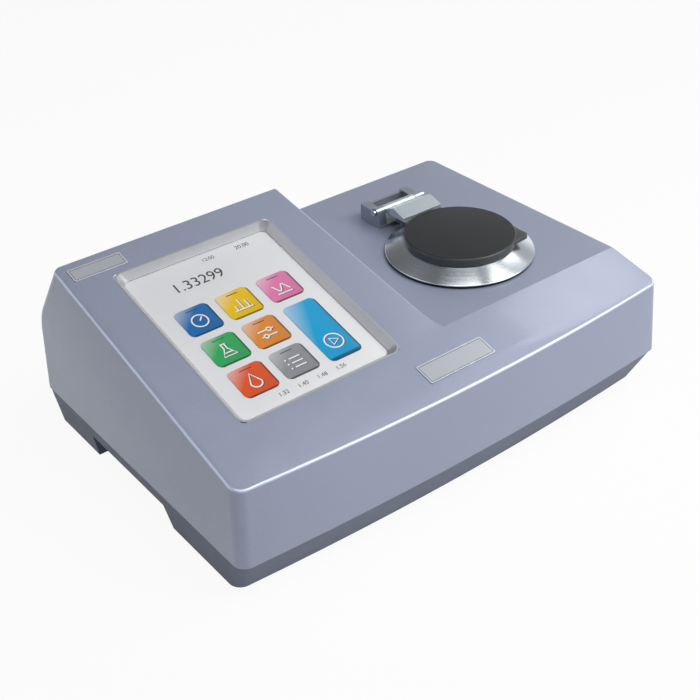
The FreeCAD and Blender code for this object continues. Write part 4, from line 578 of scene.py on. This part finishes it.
class PaintCasing(Operator):
    """Satin paint on the casing, silver on the bevel and plain metal on the two badge plates"""
    bl_idname = "refractometer.casing"
    bl_label = "Casing"

    def execute(self, context):
        look = context.scene.refractometer_casing
        # The casing paint carries a strong painted highlight on its rounded upper edges
        paint = paint_finish("housing_paint", look.paint, rough=look.gloss, edge_highlight=0.9)
        # Lower case: a darker copy of the casing paint, the darkness being painted shade
        lower = paint_finish(
            "case_paint", look.lower_shade_paint, metal=0.08, rough=look.gloss + 0.15, coat=0, gloss=0.2,
        )
        fine_copy("upper_housing", "housing_shell", paint, "base", 0, sharp=25)
        fine_copy("lower_case", "base_tray", lower, "base", 0.0008, sharp=25)
        bezel = Finish("bezel_silver", Metallic=0.45, Coat_Weight=0.3, Coat_Roughness=0.15)
        cloud = bezel.between(bezel.noise(14, 3), 0, 1)
        bezel.put("Base Color", bezel.mix(cloud, tinted(look.bezel, 0.96), tinted(look.bezel, 1.03)))
        bezel.put("Roughness", bezel.between(bezel.noise(160, 3), 0.3, 0.4))
        bezel.put("Normal", bezel.bump(bezel.noise(900, 2), 0.000004, 0.4))
        add_piece("panel_bezel", [bezel_frame()], bezel.material, sharp=50)
        plate = paint_finish("badge_plate", look.badge, metal=0.3, rough=0.34, flake=0.3)
        # Painted highlight: a paler band laid round the raised edge of each badge plate
        rim = paint_finish("badge_rim_highlight", tinted(look.badge, 1.35), metal=0.3, rough=0.25, flake=0.2)
        groove = Finish("badge_groove", Specular_IOR_Level=0.2)
        groove.put("Base Color", groove.mix(groove.noise(300, 2), (0.06, 0.065, 0.08), (0.12, 0.13, 0.15)))
        groove.put("Roughness", groove.between(groove.noise(500, 2), 0.5, 0.7))
        for node, name, (across, along), half_x, half_y in BADGES:
            fine_copy(node, name, plate, "base", 0.0002)
            for part, inset, width, finish, lift in (
                ("_rim", 0.0006, 0.0010, rim, 0.00004), ("_groove", 0.0013, 0.0004, groove.material, 0.00006),
            ):
                outline = round_box(half_x - inset, half_y - inset, 0.0008, 6) + (across, along)
                band, faces = stroke(outline, width, closed=True)
                laid = laid_on_slope(band, BADGE_TOP + lift)
                add_piece(name + part, [(laid, faces)], finish, outward=False)
        return {"FINISHED"}


# Display

KEY_COLUMNS = (-0.1181, -0.0863, -0.0531)
KEY_ROWS = (0.0840, 0.1151, 0.1469)
TALL_KEY_ALONG = 0.0987
TALL_KEY_CUT = 0.0155
FILM_TOP = SCREEN_DEPTH + 0.0003
FILM_CORNER = 0.0045
KEY_THICKNESS = 0.0004
MARK_LEVEL = FILM_TOP + 0.00048
SHADE_LEVEL = FILM_TOP + 0.00044
PRINT_LEVEL = FILM_TOP + 0.00005
MILLIMETRE = 0.001


def key_places(look):
    """Middle, half sizes and colour of each key, column by column from the left."""
    half = look.key_size / 2
    left, middle, right = KEY_COLUMNS
    low, centre, high = KEY_ROWS
    tall = (high - low) / 2 + half - TALL_KEY_CUT
    return {
        "blue": (left, high, half, half, (0.01, 0.16, 0.47)),
        "green": (left, centre, half, half, (0.03, 0.42, 0.12)),
        "red": (left, low, half, half, (0.80, 0.10, 0.02)),
        "yellow": (middle, high, half, half, (0.90, 0.58, 0.01)),
        "orange": (middle, centre, half, half, (0.80, 0.28, 0.04)),
        "grey": (middle, low, half, half, (0.30, 0.31, 0.34)),
        "pink": (right, high, half, half, (0.80, 0.22, 0.45)),
        "sky": (right, TALL_KEY_ALONG, half, tall, (0.01, 0.38, 0.72)),
    }


def key_finish(name, across, along, half_x, half_y, colour):
    """Colour of one key by the place on it: paler towards the upper left, deeper towards the lower right,
    and dark along the lower and right edges."""
    key = Finish("key_" + name, Specular_IOR_Level=0.5, Roughness=0.3, Coat_Weight=0.15)
    parts = key.node("ShaderNodeSeparateXYZ")
    key.put("Vector", key.spread(shift=(-across, 0, 0)), parts)
    middle = on_slope((across, along, FILM_TOP))
    rise = key.sum(parts.outputs["Y"], -float(middle[1]))
    up = key.sum(rise, 1 / (half_y * math.cos(SLOPE_ANGLE)), operation="MULTIPLY")
    side = key.sum(parts.outputs["X"], 1 / half_x, operation="MULTIPLY")
    slant = key.sum(up, key.sum(side, -1.0, operation="MULTIPLY"))
    light = tuple(0.5 + 0.5 * channel for channel in colour)
    deep = key.mix(key.between(slant, 0, 1, -1.6, 0.4), tinted(colour, 0.8), colour)
    face = key.mix(key.between(slant, 0, 0.9, 0.5, 1.9), deep, light)
    rim = key.sum(side, key.sum(up, -1.0, operation="MULTIPLY"), operation="MAXIMUM")
    edge = key.between(rim, 0, 1, 0.88, 0.93)
    key.put("Base Color", key.mix(edge, face, tinted(colour, 0.22)))
    return key.material


def lines_of(width, *paths):
    return [stroke(path, width) for path in paths]


def bar_chart(width):
    """Three upright bars on a ground line."""
    return lines_of(
        width,
        [(-7, -5), (7, -5)],
        [(-4.5, -4.4), (-4.5, 0)],
        [(0, -4.4), (0, 5)],
        [(4.5, -4.4), (4.5, 2.5)],
    )


def drop(width):
    """Drop: a half circle below, and two sides that meet in a point."""
    low = arc(0, -2, 4, 180, 360)
    return [stroke(np.vstack([low, [(0, 6.5)]]), width, closed=True)]


def dial(width):
    """Circle with a hand."""
    return [stroke(arc(0, 0, 5.6)[:-1], width, closed=True), *lines_of(width, [(0, 0), (3, 3)])]


def list_lines(width):
    """Three lines with a point before each."""
    paths = []
    for level in (4, 0, -4):
        paths += [[(-6, level), (-4.6, level)], [(-2.6, level), (6, level)]]
    return lines_of(width, *paths)


def flask(width):
    """Conical flask with its filling level."""
    return lines_of(
        width,
        [(-2, 6), (2, 6)],
        [(-1.2, 6), (-1.2, 1.5), (-5, -5), (5, -5), (1.2, 1.5), (1.2, 6)],
        [(-3.4, -2), (3.4, -2)],
    )


def wave(width):
    """Sine wave over a ground line."""
    x = np.linspace(-6, 6, 33)
    curve = np.stack([x, 3 * np.sin(x * math.pi / 4)], -1)
    return [stroke(curve, width), *lines_of(width, [(-6, -5.5), (6, -5.5)])]


def slider(width):
    """Two sliders, one over the other."""
    return [
        stroke(arc(2.5, 2.6, 1.6)[:-1], width, closed=True),
        stroke(arc(-2.5, -2.6, 1.6)[:-1], width, closed=True),
        *lines_of(
            width,
            [(-6, 2.6), (0.9, 2.6)],
            [(4.1, 2.6), (6, 2.6)],
            [(-6, -2.6), (-4.1, -2.6)],
            [(-0.9, -2.6), (6, -2.6)],
        ),
    ]


def start_arrow(width):
    """Circle round a triangle that points to the right."""
    return [
        stroke(arc(0, 0, 6.5)[:-1], width, closed=True),
        stroke([(-2, -3.2), (3.6, 0), (-2, 3.2)], width, closed=True),
    ]


MARKS = {
    "blue": dial, "green": flask, "red": drop, "yellow": bar_chart, "orange": slider,
    "grey": list_lines, "pink": wave, "sky": start_arrow,
}
# Name, number, size and middle of each number besides the scale, from the middle of the display
NUMBERS = (
    ("screen_reading", "1.33299", 0.0125, -0.012, 0.1795),
    ("screen_temperature", "20.00", 0.0052, 0.034, 0.1955),
    ("screen_clock", "12:00", 0.0045, 0.006, 0.1955),
)


def placed_marks(parts, across, along, out):
    """Flat marks drawn in millimetres, put on the slope at a height over the display."""
    return [(laid_on_slope(points * MILLIMETRE, out, across, along), faces) for points, faces in parts]


def digits(name, text, size, across, along, finish):
    """Plain numbers on the display, made a mesh before they are placed."""
    curve = bpy.data.curves.new(name, "FONT")
    curve.body = text
    curve.size = size
    curve.align_x = "CENTER"
    curve.align_y = "CENTER"
    helper = bpy.data.objects.new(name + "_curve", curve)
    bpy.context.scene.collection.objects.link(helper)
    bpy.context.view_layer.update()
    made = bpy.data.meshes.new_from_object(helper)
    points = np.array([vertex.co for vertex in made.vertices])
    faces = [list(face.vertices) for face in made.polygons]
    bpy.data.objects.remove(helper)
    bpy.data.meshes.remove(made)
    laid = laid_on_slope(points, PRINT_LEVEL, across, along)
    add_piece(name, [(laid, faces)], finish, outward=False)


class AddScreen(Operator):
    """Display behind the touch panel: ground, coloured keys with plain marks, and a reading"""
    bl_idname = "refractometer.screen"
    bl_label = "Screen"

    def execute(self, context):
        look = context.scene.refractometer_screen
        ground = Finish("screen_ground", Specular_IOR_Level=0.5, Coat_Weight=0.2, Coat_Roughness=0.2)
        cloud = ground.between(ground.noise(9, 2), 0, 1, 0.3, 0.7)
        ground.put("Base Color", ground.mix(cloud, tinted(look.ground, 0.97), tinted(look.ground, 1.02)))
        ground.put("Roughness", ground.between(ground.noise(140, 3), 0.32, 0.42))
        ground.put("Normal", ground.bump(ground.noise(1500, 1), 0.000008, 0.3))
        outline = round_box(0.0580, 0.0727, FILM_CORNER) + (SCREEN_ACROSS, SCREEN_ALONG)
        rings = plate_rings(outline, SCREEN_DEPTH, FILM_TOP, 0.0001)
        add_piece("screen_film", [closed_rings(on_slope(rings))], ground.material)
        places = key_places(look)
        for name, place in places.items():
            across, along, half_x, half_y, _ = place
            outline = round_box(half_x, half_y, look.key_corner) + (across, along)
            rings = plate_rings(outline, FILM_TOP, FILM_TOP + KEY_THICKNESS, 0.0002)
            add_piece("key_" + name, [closed_rings(on_slope(rings))], key_finish(name, *place))
        white = Finish("mark_white", Roughness=0.35)
        white.put("Base Color", white.mix(white.noise(60, 2), (0.86, 0.86, 0.86), (0.95, 0.95, 0.95)))
        dark = Finish("mark_dark", Roughness=0.4)
        dark.put("Base Color", dark.mix(dark.noise(60, 2), (0.03, 0.03, 0.035), (0.06, 0.06, 0.065)))
        parts, shades = [], []
        for name, motif in MARKS.items():
            across, along, _, half_y, _ = places[name]
            tall = name == "sky"
            spot = along - half_y * 0.45 if tall else along - 0.0012
            drawn = motif(look.mark_width / MILLIMETRE)
            parts += placed_marks(drawn, across, spot, MARK_LEVEL)
            shades += placed_marks(drawn, across + 0.0005, spot - 0.0004, SHADE_LEVEL)
            if not tall:
                label = lines_of(0.7, [(-4.5, 0), (4.5, 0)])
                shades += placed_marks(label, across, along + half_y - 0.0032, SHADE_LEVEL)
        add_piece("key_marks", parts, white.material, outward=False)
        add_piece("key_shades", shades, dark.material, outward=False)
        band, faces = stroke(round_box(0.0581, 0.0728, FILM_CORNER), 0.0007, closed=True)
        laid = laid_on_slope(band, PRINT_LEVEL, SCREEN_ACROSS, SCREEN_ALONG)
        add_piece("panel_edge", [(laid, faces)], dark.material, outward=False)
        for step in range(4):
            digits(
                f"screen_scale_{step}", f"1.{32 + 8 * step}", 0.0046,
                SCREEN_ACROSS - 0.0225 + 0.015 * step, 0.0645, dark.material,
            )
        for name, number, size, across, along in NUMBERS:
            digits(name, number, size, SCREEN_ACROSS + across, along, dark.material)
        return {"FINISHED"}


# Stage and cover

RING_FOOT = DECK + 0.0022
# Levels over which the painted reflection on the cover's rim fades out towards its top
COVER_SHEEN_LEVELS = (DECK + 0.0150, DECK + 0.0158)
TAB_LEVELS = (DECK + 0.0119, DECK + 0.0151)
TONGUE_LEVELS = (DECK + 0.0108, DECK + 0.0138)
TONGUE_BACK = 0.0408
TAB_ANGLE = -43


class AddStage(Operator):
    """Turned steel dish of the sample stage, with painted shade at its foot where it meets the deck"""
    bl_idname = "refractometer.stage"
    bl_label = "Sample stage"

    def execute(self, context):
        look = context.scene.refractometer_stage
        steel = turned_steel_finish("turned_steel", look.steel, foot=RING_FOOT)
        profile = np.array([
            (0.0110, -0.0012), (0.0370, 0.0060), (0.0400, 0.0060), (0.0400, -0.0033), (0.0440, -0.0033),
            (0.0440, 0.0008), (0.0548, 0.0008), (0.0548, 0.0026), (0.0400, 0.0096), (0.0370, 0.0096),
            (0.0110, 0.0024),
        ])
        line = rounded(profile, 0.0005)
        line[:, 1] += DECK
        ring = add_piece(
            "stage_dish", [turned(line, STAGE, look.ring_segments)], steel, sharp=40,
        )
        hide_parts("stage_ring")
        return {"FINISHED"}


def tab_outline():
    """Outline of the lifting tab: a wide root in the cover that draws in to a blunt tip."""
    side = np.array([
        (0.0330, 0.0130), (0.0390, 0.0130), (0.0436, 0.0073), (0.0472, 0.0032), (0.0487, 0.0016),
    ])
    corners = np.vstack([side * (1, -1), side[::-1]])
    line = rounded(corners, 0.0012)
    angle = math.radians(TAB_ANGLE)
    turn = np.array([(math.cos(angle), math.sin(angle)), (-math.sin(angle), math.cos(angle))])
    return line @ turn + STAGE


class AddCover(Operator):
    """Black sample cover with its lifting tab, the steel arm that carries it and the hinge"""
    bl_idname = "refractometer.cover"
    bl_label = "Cover and hinge"

    def execute(self, context):
        look = context.scene.refractometer_stage
        black = Finish("cover_black", Specular_IOR_Level=0.45)
        height = black.node("ShaderNodeSeparateXYZ")
        black.put("Vector", black.place, height)
        # Painted reflection: the cover's rim, below these levels, is given a far paler black than its top
        side = black.between(height.outputs["Z"], 1, 0, *COVER_SHEEN_LEVELS)
        top = black.mix(black.noise(40, 3), tinted(look.cover, 0.8), tinted(look.cover, 1.4))
        black.put("Base Color", black.mix(side, top, tinted(look.cover, 5.5)))
        black.put("Roughness", black.between(black.noise(70, 4, 0.6), 0.3, 0.42))
        black.put("Normal", black.bump(black.noise(2200, 2), 0.00001, 0.35))
        profile = np.array([
            (0.0, 0.0126), (0.0378, 0.0126), (0.0378, 0.0100), (0.0410, 0.0100), (0.0410, 0.0151),
            (0.0401, 0.0160), (0.0, 0.0160),
        ])
        line = rounded(profile, 0.0004, closed=False)
        line[:, 1] += DECK
        disc = turned(line, STAGE, look.ring_segments, over=False)
        tab = closed_rings(plate_rings(tab_outline(), *TAB_LEVELS, 0.0005))
        tongue_shape = round_box(0.0185, 0.0103, 0.0010) + (STAGE[0], STAGE[1] + TONGUE_BACK)
        tongue = closed_rings(plate_rings(tongue_shape, *TONGUE_LEVELS, 0.0003))
        cover = add_piece(
            "cover_lid", [disc, tab, tongue], black.material, "cover", sharp=40,
        )
        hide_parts("sample_cover")
        arm = paint_finish("arm_satin", (0.50, 0.55, 0.60), metal=0.6, rough=0.32, flake=0.3)
        fine_copy("cover_arm", "lid_arm", arm, "cover", 0.0003)
        # The bracket's paint carries a painted highlight on its rounded upper edges
        bracket = paint_finish(
            "bracket_satin", (0.30, 0.335, 0.39), metal=0.5, rough=0.36, flake=0.3, edge_highlight=0.6,
        )
        fine_copy("hinge_bracket", "hinge_seat", bracket, "base", 0.0003)
        pin = metal_finish("axle_steel", (0.48, 0.51, 0.55), 0.24, (0.06, 1, 1), depth=0.0000001)
        fine_copy("hinge_pin", "hinge_axle", pin, "base", 0.0003)
        return {"FINISHED"}


# Everything else that keeps its solid

class FinishPieces(Operator):
    """Procedural finish on each piece that keeps its solid"""
    bl_idname = "refractometer.pieces"
    bl_label = "Other pieces"

    def execute(self, context):
        made = {
            "rear_paint": paint_finish("rear_paint", (0.055, 0.06, 0.07), 0.1, 0.5),
            "screw_steel": metal_finish("screw_steel", (0.55, 0.55, 0.56), 0.3),
            "foot_rubber": rubber_finish("foot_rubber", (0.02, 0.02, 0.022)),
            "panel_glass": plastic_finish("panel_glass", (0.55, 0.56, 0.57), 0.2),
            "seal_rubber": rubber_finish("seal_rubber", (0.015, 0.015, 0.02)),
            "display_body": plastic_finish("display_body", (0.03, 0.03, 0.033)),
            "sheet_steel": metal_finish("sheet_steel", (0.5, 0.5, 0.51), 0.35, (0.1, 1, 1)),
            "board_green": board_finish("board_green", (0.012, 0.11, 0.035)),
            "ribbon_grey": plastic_finish("ribbon_grey", (0.4, 0.4, 0.41)),
            "ring_steel": metal_finish("ring_steel", (0.6, 0.6, 0.61)),
            "holder_steel": turned_steel_finish("holder_steel", (0.55, 0.55, 0.56)),
            "prism_glass": glass_finish("prism_glass", (0.82, 0.88, 0.95)),
            "pad_white": plastic_finish("pad_white", (0.7, 0.7, 0.68)),
            "arm_steel": metal_finish("pin_steel", (0.6, 0.61, 0.64)),
            "barrel_black": metal_finish("barrel_black", (0.02, 0.02, 0.024), 0.4, metal=0.6),
            "filter_glass": glass_finish("filter_glass", (0.85, 0.45, 0.1)),
            "lens_glass": glass_finish("lens_glass", (0.85, 0.92, 0.97)),
            "chip_black": plastic_finish("chip_black", (0.02, 0.02, 0.022)),
            "cast_aluminium": metal_finish("cast_aluminium", (0.5, 0.51, 0.52), 0.45),
            "cooler_white": plastic_finish("cooler_white", (0.75, 0.75, 0.72)),
            "fan_black": plastic_finish("fan_black", (0.02, 0.02, 0.022)),
            "socket_black": plastic_finish("socket_black", (0.018, 0.018, 0.02), 0.45),
            "pin_brass": metal_finish("pin_brass", (0.65, 0.48, 0.2)),
            "socket_metal": metal_finish("socket_metal", (0.58, 0.58, 0.6)),
            "supply_metal": metal_finish("supply_metal", (0.5, 0.51, 0.52), 0.35, (0.1, 1, 1)),
        }
        slots = {part["node"]: part["material_slot"] for part in frame["record"]["subparts"]}
        for node, piece in frame["nodes"].items():
            if piece.hide_render:
                continue
            piece.data.materials.clear()
            piece.data.materials.append(made[slots[node]])
        return {"FINISHED"}


# Studio

CAMERA_PLACE = (-0.45510, -0.59510, 0.54839)
CAMERA_YAW = 0.64340
CAMERA_PITCH = 0.56801
CAMERA_ROLL = -0.03626
PHOTO_WIDTH = 700
FOCUS_PIXELS = 1243.94
CENTRE_PIXELS = (345.64, 322.46)
LAMP_TARGET = (0.0, 0.0, 0.06)
FLOOR_SIDE = 4.0
FLOOR_GLOW = 0.93
SEEN_RAYS = ("Is Camera Ray", "Is Glossy Ray", "Is Transmission Ray")
UPWARDS = (0, 0, 1)
LIGHT_WAY = (0.93, 0.15, 0.33)
CARD_WAY = (-0.77, 0.44, 0.46)


def camera_turn():
    """Axes of the camera from its yaw, its pitch down and its roll."""
    forward = Vector((
        math.sin(CAMERA_YAW) * math.cos(CAMERA_PITCH),
        math.cos(CAMERA_YAW) * math.cos(CAMERA_PITCH),
        -math.sin(CAMERA_PITCH),
    ))
    level = Vector((math.cos(CAMERA_YAW), -math.sin(CAMERA_YAW), 0))
    rise = level.cross(forward)
    right = math.cos(CAMERA_ROLL) * level + math.sin(CAMERA_ROLL) * rise
    up = math.cos(CAMERA_ROLL) * rise - math.sin(CAMERA_ROLL) * level
    return Matrix((right, up, -forward)).transposed()


def add_lamp(name, place, side, power):
    lamp = bpy.data.lights.new(name, "AREA")
    lamp.shape = "RECTANGLE"
    lamp.size = side
    lamp.size_y = side
    lamp.energy = power
    holder = bpy.data.objects.new(name, lamp)
    bpy.context.scene.collection.objects.link(holder)
    direction = Vector(LAMP_TARGET) - Vector(place)
    holder.matrix_world = Matrix.Translation(place) @ direction.to_track_quat("-Z", "Y").to_matrix().to_4x4()


def room_light(even, shine):
    """Dim, even room that the camera sees white. Shiny pieces see its studio, by the cosine between a
    direction and each of three: a white horizon all round below the grey overhead, walls that grow
    lighter towards the right, and a pale card behind at the left."""
    world = bpy.data.worlds.new("room")
    world.use_nodes = True
    nodes, links = world.node_tree.nodes, world.node_tree.links

    def linked(kind, *inputs, **settings):
        made = nodes.new(kind)
        for setting, value in settings.items():
            setattr(made, setting, value)
        for index, value in inputs:
            if isinstance(value, bpy.types.NodeSocket):
                links.new(value, made.inputs[index])
            else:
                made.inputs[index].default_value = value
        return made.outputs[0]

    def math_of(operation, first, second):
        return linked("ShaderNodeMath", (0, first), (1, second), operation=operation)

    def ramp(value, start, end, low, high):
        ends = zip(("From Min", "From Max", "To Min", "To Max"), (start, end, low, high))
        return linked("ShaderNodeMapRange", ("Value", value), *ends, interpolation_type="SMOOTHSTEP")

    def towards(way):
        made = nodes.new("ShaderNodeVectorMath")
        made.operation = "DOT_PRODUCT"
        links.new(direction, made.inputs[0])
        made.inputs[1].default_value = way
        return made.outputs["Value"]

    direction = nodes.new("ShaderNodeTexCoord").outputs["Generated"]
    horizon = ramp(towards(UPWARDS), 0.05, 0.34, 1, 0)
    card = ramp(towards(CARD_WAY), 0.78, 0.95, 0, 1.2)
    walls = ramp(towards(LIGHT_WAY), 0.35, 1.0, 0.2, 0.62)
    studio = math_of("ADD", walls, math_of("ADD", horizon, card))
    path = nodes.new("ShaderNodeLightPath")
    seen = math_of("MULTIPLY", studio, math_of("MULTIPLY", path.outputs["Is Glossy Ray"], shine))
    room = nodes["Background"]
    room.inputs["Color"].default_value = (0.95, 0.97, 1.0, 1)
    links.new(math_of("ADD", seen, even), room.inputs["Strength"])
    white = nodes.new("ShaderNodeBackground")
    white.inputs["Color"].default_value = (1, 1, 1, 1)
    to_camera = path.outputs["Is Camera Ray"]
    blend = linked("ShaderNodeMixShader", (0, to_camera), (1, room.outputs[0]), (2, white.outputs[0]))
    links.new(blend, nodes["World Output"].inputs["Surface"])
    return world


class AddStudio(Operator):
    """Pale floor, soft lamps and the camera of the view"""
    bl_idname = "refractometer.studio"
    bl_label = "Studio"

    def execute(self, context):
        look = context.scene.refractometer_studio
        scene = context.scene
        scene.view_settings.view_transform = "Standard"

        camera = bpy.data.cameras.new("camera")
        camera.sensor_fit = "HORIZONTAL"
        camera.sensor_width = 36
        camera.lens = FOCUS_PIXELS / PHOTO_WIDTH * camera.sensor_width
        camera.shift_x = 0.5 - CENTRE_PIXELS[0] / PHOTO_WIDTH
        camera.shift_y = CENTRE_PIXELS[1] / PHOTO_WIDTH - 0.5
        camera.clip_start = 0.01
        holder = bpy.data.objects.new("camera", camera)
        scene.collection.objects.link(holder)
        holder.matrix_world = Matrix.Translation(CAMERA_PLACE) @ camera_turn().to_4x4()
        scene.camera = holder

        scene.world = room_light(look.room, look.shine)
        add_lamp("key", (1.03, 0.238, 0.978), 0.3, look.key_power)
        add_lamp("front", (0.70, -0.70, 1.05), 0.9, look.front_power)
        add_lamp("top", (-0.17, -0.46, 1.37), 0.9, look.top_power)
        add_lamp("rim", (-0.689, 0.579, 1.132), 0.3, look.rim_power)

        finish = Finish("floor_paper", Roughness=0.6, Specular_IOR_Level=0.2)
        finish.put("Base Color", finish.mix(finish.noise(6, 2), (0.86, 0.86, 0.86), (0.88, 0.88, 0.88)))
        glow = finish.node("ShaderNodeEmission")
        glow.inputs["Color"].default_value = (1, 1, 1, 1)
        sight = finish.node("ShaderNodeLightPath")
        seen = finish.sum(*(sight.outputs[ray] for ray in SEEN_RAYS), operation="MAXIMUM")
        share = finish.sum(seen, FLOOR_GLOW, operation="MULTIPLY")
        mixed = finish.node("ShaderNodeMixShader")
        finish.tree.links.new(share, mixed.inputs[0])
        finish.tree.links.new(finish.shader.outputs[0], mixed.inputs[1])
        finish.tree.links.new(glow.outputs[0], mixed.inputs[2])
        finish.tree.links.new(mixed.outputs[0], finish.tree.nodes["Material Output"].inputs["Surface"])
        mesh = bpy.data.meshes.new("floor")
        corners = [(x * FLOOR_SIDE, y * FLOOR_SIDE, 0) for x, y in ((-1, -1), (1, -1), (1, 1), (-1, 1))]
        mesh.from_pydata(corners, [], [(0, 1, 2, 3)])
        mesh.materials.append(finish.material)
        floor = bpy.data.objects.new("floor", mesh)
        scene.collection.objects.link(floor)
        return {"FINISHED"}


STEPS = (PaintCasing, AddScreen, AddStage, AddCover, FinishPieces, AddStudio)
LOOKS = {
    "refractometer_casing": CasingLook,
    "refractometer_screen": ScreenLook,
    "refractometer_stage": StageLook,
    "refractometer_studio": StudioLook,
}


class SidePanel(Panel):
    """Sizes, colours and steps of the refractometer"""
    bl_idname = "VIEW3D_PT_refractometer"
    bl_label = "Refractometer"
    bl_space_type = "VIEW_3D"
    bl_region_type = "UI"
    bl_category = "Refractometer"

    def draw(self, context):
        layout = self.layout
        for name, look in LOOKS.items():
            block = layout.box()
            for field in look.__annotations__:
                block.prop(getattr(context.scene, name), field)
        for step in STEPS:
            layout.operator(step.bl_idname)


def register():
    for kind in (*LOOKS.values(), *STEPS, SidePanel):
        bpy.utils.register_class(kind)
    for name, look in LOOKS.items():
        setattr(bpy.types.Scene, name, PointerProperty(type=look))


def unregister():
    for name in LOOKS:
        delattr(bpy.types.Scene, name)
    for kind in (SidePanel, *reversed(STEPS), *LOOKS.values()):
        bpy.utils.unregister_class(kind)


def main():
    register()
    for step in STEPS:
        group, name = step.bl_idname.split(".")
        getattr(getattr(bpy.ops, group), name)()


if __name__ == "__main__":
    main()
